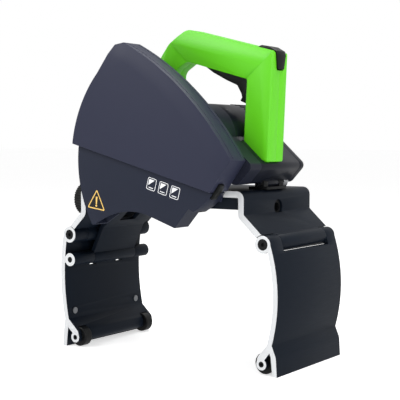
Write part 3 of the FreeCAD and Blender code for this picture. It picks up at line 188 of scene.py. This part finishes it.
# %% Paint and plastic finishes
# satin paint on the upper guard: violet-grey, soft highlight, hardly any grain
guard_upper = surface("satin_paint_upper_guard", "#2C2F42", 0.48, gloss=0.28, grain_mm=1.6, depth_mm=0.012,
                      mottle=0.04, mottle_mm=70, rough_swing=0.05)
# satin paint on the lower guard: the same skin, a shade bluer and darker
guard_lower = surface("satin_paint_lower_guard", "#222737", 0.46, gloss=0.28, grain_mm=1.6, depth_mm=0.012,
                      mottle=0.05, mottle_mm=60, rough_swing=0.05)
# glass-filled nylon from a polished mould: dark, with long clear highlights
motor_nylon = surface("glossy_nylon_motor", "#12151F", 0.30, ior=1.52, gloss=0.3, grain_mm=1.5,
                      depth_mm=0.008, mottle=0.05, mottle_mm=50, rough_swing=0.05, coat=0.1,
                      coat_roughness=0.1)
# bright nylon of the grip: saturated green with a soft moulded sheen
green_nylon = surface("moulded_nylon_green", "#66D51E", 0.38, ior=1.52, gloss=0.35, grain_mm=1.2,
                      depth_mm=0.010, mottle=0.03, mottle_mm=60, rough_swing=0.05, coat=0.1,
                      coat_roughness=0.3)
# black nylon of knob, trigger and levers: matt, with spark grain
black_nylon = surface("moulded_nylon_black", "#131514", 0.42, gloss=0.35, grain_mm=1.1, depth_mm=0.025,
                      mottle=0.08, mottle_mm=20, rough_swing=0.08)
# turned nylon of wheels and rollers: tool lines round the rim
roller_nylon = surface("turned_nylon_black", "#121314", 0.38, gloss=0.35, grain_mm=0.8, depth_mm=0.02,
                       stretch=(1, 0.15, 1), mottle=0.08, mottle_mm=12, rough_swing=0.08)
# grey nylon of the fan: plain and matt
fan_nylon = surface("moulded_nylon_grey", "#3A3B3D", 0.5, grain_mm=1.2, depth_mm=0.02)
FINISH = {
    "anodised": anodised, "steel": ground_steel, "zinc_steel": zinc_steel, "bronze": bronze,
    "black_steel": black_steel, "black_plastic": black_nylon, "roller_plastic": roller_nylon,
    "guard_upper": guard_upper, "guard_lower": guard_lower, "cast_aluminium": cast_aluminium,
    "disc_steel": disc_steel, "motor_plastic": motor_nylon, "green_plastic": green_nylon,
    "iron": winding_iron, "copper": turned_copper, "fan_plastic": fan_nylon}
for name, piece in nodes.items():
    piece.data.materials.clear()
    piece.data.materials.append(FINISH[slot_of[name]])
print("dressed", len(nodes), "solids with", len(FINISH), "finishes")

# %% [markdown]
# ## Softer edges
# No real edge is perfectly sharp: mouldings and castings have a small radius, and it is what catches the light.
# The shader's bevel could fake it, but it leaves the outline sharp, so the shape itself is rounded. The frame's
# solids stay as they are. A copy of each large piece is welded, its flat faces are joined, and a Bevel modifier
# rounds the edges by a real radius. The copy then stands in for the solid, on the same body.


# %% Helpers that make, bake and seat a piece
def plain_object(name, mesh, material=None):
    """A new object at the origin that holds this mesh."""
    piece = bpy.data.objects.new(name, mesh)
    bpy.context.scene.collection.objects.link(piece)
    if material is not None:
        mesh.materials.clear()
        mesh.materials.append(material)
    return piece


def baked(piece):
    """Turns the evaluated object into a plain mesh and removes its modifiers."""
    bpy.context.view_layer.update()
    mesh = bpy.data.meshes.new_from_object(piece.evaluated_get(bpy.context.evaluated_depsgraph_get()))
    piece.modifiers.clear()
    piece.data = mesh
    return piece


def seated(piece, body, slot, *replaced):
    """Puts a finished piece on its body and hides the solids it stands for; the slot is not used."""
    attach(piece, body)
    if replaced:
        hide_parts(*replaced)
    return piece


print("a new piece is made, baked and seated by three helpers")


# %% A softened copy of one solid
WELD_MM = 0.002
FLAT_DEG = 0.4
END_MM, END_SLOPE = 0.5, 0.97
BEVEL_STEPS = 2
SHARP_DEG = 32


def softened(name, radius_mm, sawn=False):
    """A copy of a solid with rounded edges; sawn gives its end faces the bare metal."""
    mesh = nodes[name].data.copy()
    piece = plain_object(name + "_soft", mesh)
    form = bmesh.new()
    form.from_mesh(mesh)
    bmesh.ops.remove_doubles(form, verts=form.verts, dist=WELD_MM * MM)
    bmesh.ops.dissolve_limit(form, angle_limit=math.radians(FLAT_DEG), verts=form.verts, edges=form.edges)
    if sawn:
        low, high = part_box(name)
        for face in form.faces:
            middle_y = face.calc_center_median().y
            at_end = min(abs(middle_y - low.y), abs(middle_y - high.y)) < END_MM * MM
            face.material_index = 1 if at_end and abs(face.normal.y) > END_SLOPE else 0
    form.to_mesh(mesh)
    form.free()
    if sawn:
        mesh.materials.append(sawn_aluminium)
    bevel = piece.modifiers.new("edge radius", "BEVEL")
    bevel.width = radius_mm * MM
    bevel.segments = BEVEL_STEPS
    bevel.limit_method = "ANGLE"
    bevel.angle_limit = math.radians(SHARP_DEG)
    bevel.use_clamp_overlap = True
    bevel.harden_normals = False
    baked(piece)
    piece.data.shade_smooth()
    piece.data.set_sharp_from_angle(angle=math.radians(SHARP_DEG))
    return seated(piece, body_of[name], slot_of[name], name)


print("edges sharper than", SHARP_DEG, "degrees are rounded in", BEVEL_STEPS, "steps")

# %% Soften the large pieces
# radius of each edge, in millimetres
ROUNDED = {"blade_cover": 1.2, "lower_guard": 0.8, "handle_front_shell": 1.0, "handle_rear_shell": 1.0,
           "motor_housing": 0.8, "motor_end_cap": 0.8, "clamp_knob": 0.5, "trigger": 1.0, "lock_lever": 1.0,
           "guard_tab": 0.5, "saw_hinge_bracket": 0.5, "screw_carriage": 0.8, "link_plate": 0.3,
           "front_roller_beam": 0.3, "rear_roller_beam": 0.3}
SAWN = {"bridge_extrusion": 0.35, "left_jaw": 0.35, "right_jaw": 0.35}
for name, radius in ROUNDED.items():
    softened(name, radius)
for name, radius in SAWN.items():
    softened(name, radius, sawn=True)
print("softened", len(ROUNDED) + len(SAWN), "pieces")

# %% [markdown]
# ## Places on the saw unit
# The saw unit rests 15 degrees above level. Its details could be placed on the slope, but they are easier to size and
# line up as if it were level. So one matrix turns a level place, in metres, into the frame's own place, about the
# hinge of the saw.

# %% From the level saw to the frame
saw_joint = next(joint for joint in frame["joints"] if joint["name"] == "saw_press")
hinge_at = Vector(saw_joint["pos_m"])
LEVEL_HINGE = Vector((0.113, 0.0, 0.231))
LEVEL_SPINDLE = Vector((-0.015, 0.0, 0.25))
ENDS_TO_MIDDLE = 0.0625
RAISE_DEG = 15.0
RAISE = Matrix.Rotation(math.radians(RAISE_DEG), 4, "Y")
TO_FRAME = (Matrix.Translation(Vector((hinge_at.x, -ENDS_TO_MIDDLE, hinge_at.z))) @ RAISE
            @ Matrix.Translation(-LEVEL_HINGE))
print("the level spindle lies at", [round(c, 4) for c in TO_FRAME @ LEVEL_SPINDLE])

# %% [markdown]
# ## Signs on the lower guard
# The lower guard carries three small printed signs and a warning triangle. They could be painted in the material, but
# a real film has an edge. Each is drawn as a flat outline and given a thickness.

# %% Film finishes and flat outlines
# printed film: flat, even colour with the dull sheen of a laminate
white_film = surface("printed_film_white", "#F2F3F5", 0.5, grain_mm=1.5, depth_mm=0.003, mottle=0.03, mottle_mm=8)
amber_film = surface("printed_film_amber", "#F0C66A", 0.5, grain_mm=1.5, depth_mm=0.003, mottle=0.05, mottle_mm=8)
black_film = surface("printed_film_black", "#17171B", 0.5, grain_mm=1.5, depth_mm=0.003, mottle=0.05, mottle_mm=8)
FILM = 0.12


def rounded(points, radius, steps=5):
    """The corners of a convex outline in XZ, each turned into a short arc."""
    loop = []
    for i, corner in enumerate(points):
        here = Vector(corner)
        before = (Vector(points[i - 1]) - here).normalized()
        after = (Vector(points[(i + 1) % len(points)]) - here).normalized()
        half = before.angle(after) / 2
        reach = radius / math.tan(half)
        centre = here + (before + after).normalized() * radius / math.sin(half)
        start, end = here + before * reach - centre, here + after * reach - centre
        for k in range(steps + 1):
            way = start.lerp(end, k / steps).normalized() * radius
            loop.append(centre + way)
    return loop


def film_mesh(name, loops, y_mm, closed_faces):
    """A thin film from rings of points: a ring between two loops, or a filled loop."""
    form = bmesh.new()
    rings = [[form.verts.new((x * MM, y_mm * MM, z * MM)) for x, z in loop] for loop in loops]
    if closed_faces:
        for ring in rings:
            form.faces.new(ring)
    else:
        outer, inner = rings
        for i in range(len(outer)):
            k = (i + 1) % len(outer)
            form.faces.new((outer[i], outer[k], inner[k], inner[i]))
    bmesh.ops.recalc_face_normals(form, faces=form.faces)
    solid = bmesh.ops.extrude_face_region(form, geom=list(form.faces))
    moved = [part for part in solid["geom"] if isinstance(part, bmesh.types.BMVert)]
    bmesh.ops.translate(form, verts=moved, vec=(0, -FILM * MM, 0))
    bmesh.ops.recalc_face_normals(form, faces=form.faces)
    mesh = bpy.data.meshes.new(name)
    form.to_mesh(mesh)
    form.free()
    return mesh


print("films are", FILM, "mm thick")


# %% [markdown]
# The three square signs are the same shape: a rounded border, a wedge and a bar, with no lettering. They could be
# copied by hand, but Geometry Nodes set one shape out in a row, with the count, the first place and the step as
# inputs, so the row is changed with one number.


# %% Trees, and the way to run one
def group_tree(name, sizes, material):
    """A new geometry tree with named size inputs; returns the tree, its input node and a finishing function."""
    tree = bpy.data.node_groups.new(name, "GeometryNodeTree")
    tree.interface.new_socket("Geometry", in_out="INPUT", socket_type="NodeSocketGeometry")
    for label, (kind, value) in sizes.items():
        socket = tree.interface.new_socket(label, in_out="INPUT", socket_type=kind)
        socket.default_value = value
    tree.interface.new_socket("Geometry", in_out="OUTPUT", socket_type="NodeSocketGeometry")
    entry = add_node(tree, "NodeGroupInput")

    def finish(geometry):
        real = add_node(tree, "GeometryNodeRealizeInstances", links={"Geometry": geometry})
        painted = add_node(tree, "GeometryNodeSetMaterial", values={"Material": material},
                           links={"Geometry": real.outputs["Geometry"]})
        add_node(tree, "NodeGroupOutput", links={"Geometry": painted.outputs["Geometry"]})
    return tree, entry, finish


def grown(name, tree, values, seed_mesh=None):
    """Runs a tree on a seed mesh with these input values and returns the plain mesh."""
    mesh = seed_mesh or bpy.data.meshes.new(name + "_seed")
    holder = plain_object(name, mesh)
    modifier = holder.modifiers.new("grow", "NODES")
    modifier.node_group = tree
    for item in tree.interface.items_tree:
        if item.in_out == "INPUT" and item.name in values:
            modifier[item.identifier] = values[item.name]
    return baked(holder)


def on_saw(piece, body, slot):
    """Moves a piece drawn on the level saw into the frame and seats it."""
    piece.data.transform(TO_FRAME)
    piece.data.update()
    return seated(piece, body, slot)


print("a tree is grown on a seed mesh, then baked")

# %% The row of three signs, by Geometry Nodes
GUARD_FRONT = -34.03
SIGN_COUNT = 3
SIGN_X, SIGN_Z, SIGN_STEP = 13.6, 203.7, 18.7
SIGN_W, SIGN_H, SIGN_LINE = 14.0, 15.5, 0.75
OUTER_CORNER, INNER_CORNER = 2.2, 1.5
WEDGE = [(-4.9, -2.4), (3.6, 5.6), (-4.9, 5.6)]
BAR = [(-3.6, -5.3), (3.6, -5.3), (3.6, -4.3), (-3.6, -4.3)]
half_w, half_h = SIGN_W / 2, SIGN_H / 2
corners = [(-half_w, -half_h), (half_w, -half_h), (half_w, half_h), (-half_w, half_h)]
inset = [(x * (1 - 2 * SIGN_LINE / SIGN_W), z * (1 - 2 * SIGN_LINE / SIGN_H)) for x, z in corners]
border = [rounded(corners, OUTER_CORNER), rounded(inset, INNER_CORNER)]
frame_mesh = film_mesh("sign_frame", border, 0.0, False)
wedge_mesh = film_mesh("sign_wedge", [WEDGE], 0.0, True)
bar_mesh = film_mesh("sign_bar", [BAR], 0.0, True)
one = bmesh.new()
for part in (frame_mesh, wedge_mesh, bar_mesh):
    one.from_mesh(part)
sign_mesh = bpy.data.meshes.new("one_sign")
one.to_mesh(sign_mesh)
one.free()
row_tree, entry, finish = group_tree("signs_in_a_row", {
    "Count": ("NodeSocketInt", SIGN_COUNT), "Step": ("NodeSocketVector", (SIGN_STEP * MM, 0, 0)),
    "Start": ("NodeSocketVector", (0, 0, 0))}, white_film)
line = add_node(row_tree, "GeometryNodeMeshLine", links={
    "Count": entry.outputs["Count"], "Start Location": entry.outputs["Start"], "Offset": entry.outputs["Step"]})
copies = add_node(row_tree, "GeometryNodeInstanceOnPoints", links={
    "Points": line.outputs["Mesh"], "Instance": entry.outputs["Geometry"]})
finish(copies.outputs["Instances"])
signs = grown("guard_signs", row_tree, {"Start": (SIGN_X * MM, GUARD_FRONT * MM, SIGN_Z * MM)}, sign_mesh)
on_saw(signs, "lower_guard", "guard_lower")
print("signs:", len(signs.data.polygons), "faces")

# %% [markdown]
# The warning triangle has a dark field, an amber rim and a plain exclamation mark. Each could have its own corners,
# but here its shapes are shares of one outline about its centre, so that they stay in step.

# %% The warning triangle
APEX, LOW_LEFT, LOW_RIGHT = Vector((-71.0, 172.0)), Vector((-80.6, 144.6)), Vector((-50.6, 148.4))
FIELD_SHARE, FIELD_CORNER = 0.96, 1.0
RIM_SHARES, RIM_CORNERS = (1.0, 0.84), (1.4, 0.6)
STROKE_LOW, STROKE_HIGH, STROKE_LOW_HALF, STROKE_HIGH_HALF = -2.2, 7.6, 0.9, 1.5
DOT_LOW, DOT_R, DOT_POINTS = -4.2, 1.5, 16
centre = (APEX + LOW_LEFT + LOW_RIGHT) / 3


def triangle(share, corner_r):
    """The triangle's outline, shrunk about its centre, with rounded corners."""
    return rounded([tuple(centre + (corner - centre) * share) for corner in (LOW_LEFT, LOW_RIGHT, APEX)], corner_r)


def film_on_guard(name, loops, y_mm, closed_faces, film):
    """A film of this shape and finish on the lower guard."""
    piece = plain_object(name, film_mesh(name, loops, y_mm, closed_faces), film)
    return on_saw(piece, "lower_guard", "guard_lower")


film_on_guard("warning_field", [triangle(FIELD_SHARE, FIELD_CORNER)], GUARD_FRONT, True, black_film)
film_on_guard("warning_rim", [triangle(share, corner_r) for share, corner_r in zip(RIM_SHARES, RIM_CORNERS)],
              GUARD_FRONT - FILM, False, amber_film)
up = (APEX - (LOW_LEFT + LOW_RIGHT) / 2).normalized()
side = Vector((up.y, -up.x))
stroke = [tuple(centre + up * height + side * half) for height, half in (
    (STROKE_LOW, -STROKE_LOW_HALF), (STROKE_LOW, STROKE_LOW_HALF),
    (STROKE_HIGH, STROKE_HIGH_HALF), (STROKE_HIGH, -STROKE_HIGH_HALF))]
dot = [tuple(centre + up * DOT_LOW + side * (DOT_R * math.cos(a)) + up * (DOT_R * math.sin(a)))
       for a in (k * 2 * math.pi / DOT_POINTS for k in range(DOT_POINTS))]
film_on_guard("warning_mark", [stroke, dot], GUARD_FRONT - FILM, True, amber_film)
print("triangle about", round((LOW_RIGHT - LOW_LEFT).length, 1), "mm wide")

# %% [markdown]
# ## Thread of the clamp screw
# The clamp screw carries a coarse thread on both sides of the block that it pushes, and stays smooth where it
# slides in its guide. A striped bump could suggest it, but the ridges show in the screw's outline. So a spiral
# curve follows the thread's pitch, and a small four-cornered profile is swept along it, which gives a true helical
# ridge around the solid core.

# %% Helical thread, by Geometry Nodes
thread_tree, entry, finish = group_tree("helical_thread", {
    "Turns": ("NodeSocketFloat", 10.0), "Radius": ("NodeSocketFloat", 0.006), "Length": ("NodeSocketFloat", 0.05),
    "Ridge": ("NodeSocketFloat", 0.0008)}, ground_steel)
POINTS_A_TURN, RIDGE_SIDES = 24, 4
spiral = add_node(thread_tree, "GeometryNodeCurveSpiral", values={"Resolution": POINTS_A_TURN}, links={
    "Rotations": entry.outputs["Turns"], "Start Radius": entry.outputs["Radius"],
    "End Radius": entry.outputs["Radius"], "Height": entry.outputs["Length"]})
profile = add_node(thread_tree, "GeometryNodeCurvePrimitiveCircle", values={"Resolution": RIDGE_SIDES},
                   links={"Radius": entry.outputs["Ridge"]})
swept = add_node(thread_tree, "GeometryNodeCurveToMesh", values={"Fill Caps": True}, links={
    "Curve": spiral.outputs["Curve"], "Profile Curve": profile.outputs["Curve"]})
finish(swept.outputs["Mesh"])
screw_low, screw_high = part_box("lead_screw")
screw_axis = (screw_low + screw_high) / 2
knob_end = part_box("clamp_knob")[1].x
block_low, block_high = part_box("screw_carriage")
guide_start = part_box("guide_bush")[0].x
SCREW_R, PITCH = 6.0 * MM, 3.0 * MM
ROOT_DEPTH, RIDGE = 0.6 * MM, 0.85 * MM
COLLAR, TRAVEL = 5.0 * MM, 27.0 * MM
THREADS = {"clamp_thread_knob_side": (knob_end, block_low.x - COLLAR),
           "clamp_thread_guide_side": (block_high.x + COLLAR, guide_start - TRAVEL)}
for name, (start, end) in THREADS.items():
    thread = grown(name, thread_tree, {
        "Turns": (end - start) / PITCH, "Radius": SCREW_R - ROOT_DEPTH, "Length": end - start, "Ridge": RIDGE})
    thread.data.transform(Matrix.Translation((start, screw_axis.y, screw_axis.z))
                          @ Matrix.Rotation(math.radians(90), 4, "Y"))
    seated(thread, body_of["lead_screw"], slot_of["lead_screw"])
    print(name, "has", round((end - start) / PITCH, 1), "turns")

# %% [markdown]
# ## Cooling ribs on the motor
# Behind the grip the motor's nylon housing has low ribs along its length, which stiffen it and shed heat. An Array
# turned about an empty would do it too, but leaves an extra object in the scene. So they are one plain bar, set
# round the housing by Geometry Nodes at equal angles.

# %% Ribs round the motor, by Geometry Nodes
RIB_COUNT, RIB_CIRCLE, RIB_SWEEP = 15, 43.8 * MM, 2.4
RIB_SIZE = (2.0 * MM, 1.8 * MM, 34.0 * MM)
RIB_MIDDLE_Y, RIB_START_DEG = 95, -55
MOTOR_AXIS = (41.4, 270.5)
ribs_tree, entry, finish = group_tree("ribs_round_a_motor", {
    "Count": ("NodeSocketInt", RIB_COUNT), "Radius": ("NodeSocketFloat", RIB_CIRCLE),
    "Sweep": ("NodeSocketFloat", RIB_SWEEP), "Rib": ("NodeSocketVector", RIB_SIZE)}, motor_nylon)
arc = add_node(ribs_tree, "GeometryNodeCurveArc", {"mode": "RADIUS"}, links={
    "Resolution": entry.outputs["Count"], "Radius": entry.outputs["Radius"], "Sweep Angle": entry.outputs["Sweep"]})
rib = add_node(ribs_tree, "GeometryNodeMeshCube", links={"Size": entry.outputs["Rib"]})
index = add_node(ribs_tree, "GeometryNodeInputIndex")
spaces = add_node(ribs_tree, "ShaderNodeMath", {"operation": "SUBTRACT"}, values={1: 1.0},
                  links={0: entry.outputs["Count"]})
share = add_node(ribs_tree, "ShaderNodeMath", {"operation": "DIVIDE"}, links={
    0: index.outputs["Index"], 1: spaces.outputs["Value"]})
turned = add_node(ribs_tree, "ShaderNodeMath", {"operation": "MULTIPLY"}, links={
    0: share.outputs["Value"], 1: entry.outputs["Sweep"]})
rotation = add_node(ribs_tree, "ShaderNodeCombineXYZ", links={"Z": turned.outputs["Value"]})
points = add_node(ribs_tree, "GeometryNodeInstanceOnPoints", links={
    "Points": arc.outputs["Curve"], "Instance": rib.outputs["Mesh"], "Rotation": rotation.outputs["Vector"]})
finish(points.outputs["Instances"])
ribs = grown("motor_ribs", ribs_tree, {"Rib": RIB_SIZE})
ribs.data.transform(Matrix.Translation((MOTOR_AXIS[0] * MM, RIB_MIDDLE_Y * MM, MOTOR_AXIS[1] * MM))
                    @ Matrix.Rotation(math.radians(RIB_START_DEG), 4, "Y")
                    @ Matrix.Rotation(math.radians(90), 4, "X"))
on_saw(ribs, "saw", "motor_plastic")
print("ribs:", len(ribs.data.polygons), "faces")

# %% [markdown]
# ## Parting beads on the upper guard
# The upper guard is cast in one shell; a fine bead runs round its side wall where the mould halves met. A groove cut
# by a Boolean would be slower and less even. Each bead is a thin rod swept along the long curved edge, just proud of
# the wall.

# %% Beads along the long edge, by Geometry Nodes
EDGE_CENTRE, EDGE_R = (-158.4, -35.2), 409.0
EDGE_FROM, EDGE_TO = 47.4, 77.8
BEAD_R, BEAD_POINTS, BEAD_SIDES = 0.45 * MM, 48, 8
BEAD_PLACES = (("front", -27.5), ("rear", -8.0))
edge_sweep = math.radians(EDGE_TO - EDGE_FROM)
bead_tree, entry, finish = group_tree("bead_along_an_arc", {
    "Radius": ("NodeSocketFloat", EDGE_R * MM), "Sweep": ("NodeSocketFloat", edge_sweep),
    "Bead": ("NodeSocketFloat", BEAD_R)}, guard_upper)
arc = add_node(bead_tree, "GeometryNodeCurveArc", {"mode": "RADIUS"}, values={"Resolution": BEAD_POINTS}, links={
    "Radius": entry.outputs["Radius"], "Sweep Angle": entry.outputs["Sweep"]})
profile = add_node(bead_tree, "GeometryNodeCurvePrimitiveCircle", values={"Resolution": BEAD_SIDES},
                   links={"Radius": entry.outputs["Bead"]})
swept = add_node(bead_tree, "GeometryNodeCurveToMesh", values={"Fill Caps": True}, links={
    "Curve": arc.outputs["Curve"], "Profile Curve": profile.outputs["Curve"]})
finish(swept.outputs["Mesh"])
for label, y_mm in BEAD_PLACES:
    bead = grown("guard_bead_" + label, bead_tree, {"Radius": EDGE_R * MM, "Sweep": edge_sweep, "Bead": BEAD_R})
    bead.data.transform(Matrix.Translation((EDGE_CENTRE[0] * MM, y_mm * MM, EDGE_CENTRE[1] * MM))
                        @ Matrix.Rotation(math.radians(90), 4, "X")
                        @ Matrix.Rotation(math.radians(EDGE_FROM), 4, "Z"))
    on_saw(bead, "saw", "guard_upper")
print("two beads of", round(EDGE_R * edge_sweep), "mm")

# %% [markdown]
# ## Studio
# A plain pale floor, a white room and three soft lights. Small lamps would give hard shadows and hot spots on the
# satin paint, so each light is a metre or more across. The floor glows a little, which keeps it pale and lifts the
# undersides, and glossy pieces don't mirror it.

# %% Floor, room and lights
FLOOR_REACH = 30.0
FLOOR_ROUGHNESS, FLOOR_GLOW = 0.75, 0.6
ROOM_LIGHT, ROOM_SEEN = 0.42, 1.0
WHITE = (1.0, 1.0, 1.0, 1.0)
floor_mesh = bpy.data.meshes.new("floor")
floor_corners = [(x * FLOOR_REACH, y * FLOOR_REACH, 0) for x, y in ((-1, -1), (1, -1), (1, 1), (-1, 1))]
floor_mesh.from_pydata(floor_corners, [], [(0, 1, 2, 3)])
paper = bpy.data.materials.new("studio_paper")
paper.use_nodes = True
for socket, value in (("Base Color", linear("#F4F4F4")), ("Roughness", FLOOR_ROUGHNESS),
                      ("Emission Color", WHITE), ("Emission Strength", FLOOR_GLOW)):
    paper.node_tree.nodes["Principled BSDF"].inputs[socket].default_value = value
floor = plain_object("studio_floor", floor_mesh, paper)
floor.visible_glossy = False

world = bpy.data.worlds.new("studio")
bpy.context.scene.world = world
world.use_nodes = True
room = world.node_tree
room.nodes["Background"].inputs["Color"].default_value = WHITE
room.nodes["Background"].inputs["Strength"].default_value = ROOM_LIGHT
seen = add_node(room, "ShaderNodeBackground", values={"Color": WHITE, "Strength": ROOM_SEEN})
ray = add_node(room, "ShaderNodeLightPath")
either = add_node(room, "ShaderNodeMixShader", links={
    0: ray.outputs["Is Camera Ray"], 1: room.nodes["Background"].outputs["Background"],
    2: seen.outputs["Background"]})
room.links.new(either.outputs["Shader"], room.nodes["World Output"].inputs["Surface"])


def soft_light(name, place, aim, size, power):
    """A square area light that faces a point."""
    lamp = bpy.data.lights.new(name, "AREA")
    lamp.size = size
    lamp.energy = power
    stand = bpy.data.objects.new(name, lamp)
    bpy.context.scene.collection.objects.link(stand)
    stand.location = place
    stand.rotation_euler = (Vector(place) - Vector(aim)).to_track_quat("Z", "Y").to_euler()


# place, size in metres and power in watts of each light
LIGHTS = {"key_light": ((-0.9, -1.3, 1.5), 1.0, 16), "fill_light": ((1.7, -0.9, 0.9), 1.2, 7),
          "top_light": ((0.2, 0.3, 1.7), 1.2, 22)}
MIDDLE = Vector((0.02, 0.0, 0.2))
for name, (place, size, power) in LIGHTS.items():
    soft_light(name, place, MIDDLE, size, power)
print("lights:", len(LIGHTS))

# %% [markdown]
# The camera stands a little above the floor and well back, with a long lens, so that the upright edges stay nearly
# parallel. A shorter lens nearer by would fill the view as well, but would splay the jaws.

# %% Camera
AZIMUTH = math.radians(35.05)
ELEVATION = math.radians(3.28)
DISTANCE, LENS_MM, SENSOR_MM = 1.3695, 91.65, 36.0
TARGET = Vector((0.02143, 0.0145, 0.2052))
back = Vector((math.sin(AZIMUTH) * math.cos(ELEVATION), -math.cos(AZIMUTH) * math.cos(ELEVATION),
               math.sin(ELEVATION)))
lens = bpy.data.cameras.new("studio_camera")
lens.sensor_width = SENSOR_MM
lens.lens = LENS_MM
camera = bpy.data.objects.new("studio_camera", lens)
bpy.context.scene.collection.objects.link(camera)
camera.location = TARGET + back * DISTANCE
camera.rotation_euler = back.to_track_quat("Z", "Y").to_euler()
bpy.context.scene.camera = camera
bpy.context.scene.view_settings.view_transform = "Standard"
print("camera at", [round(c, 3) for c in camera.location])
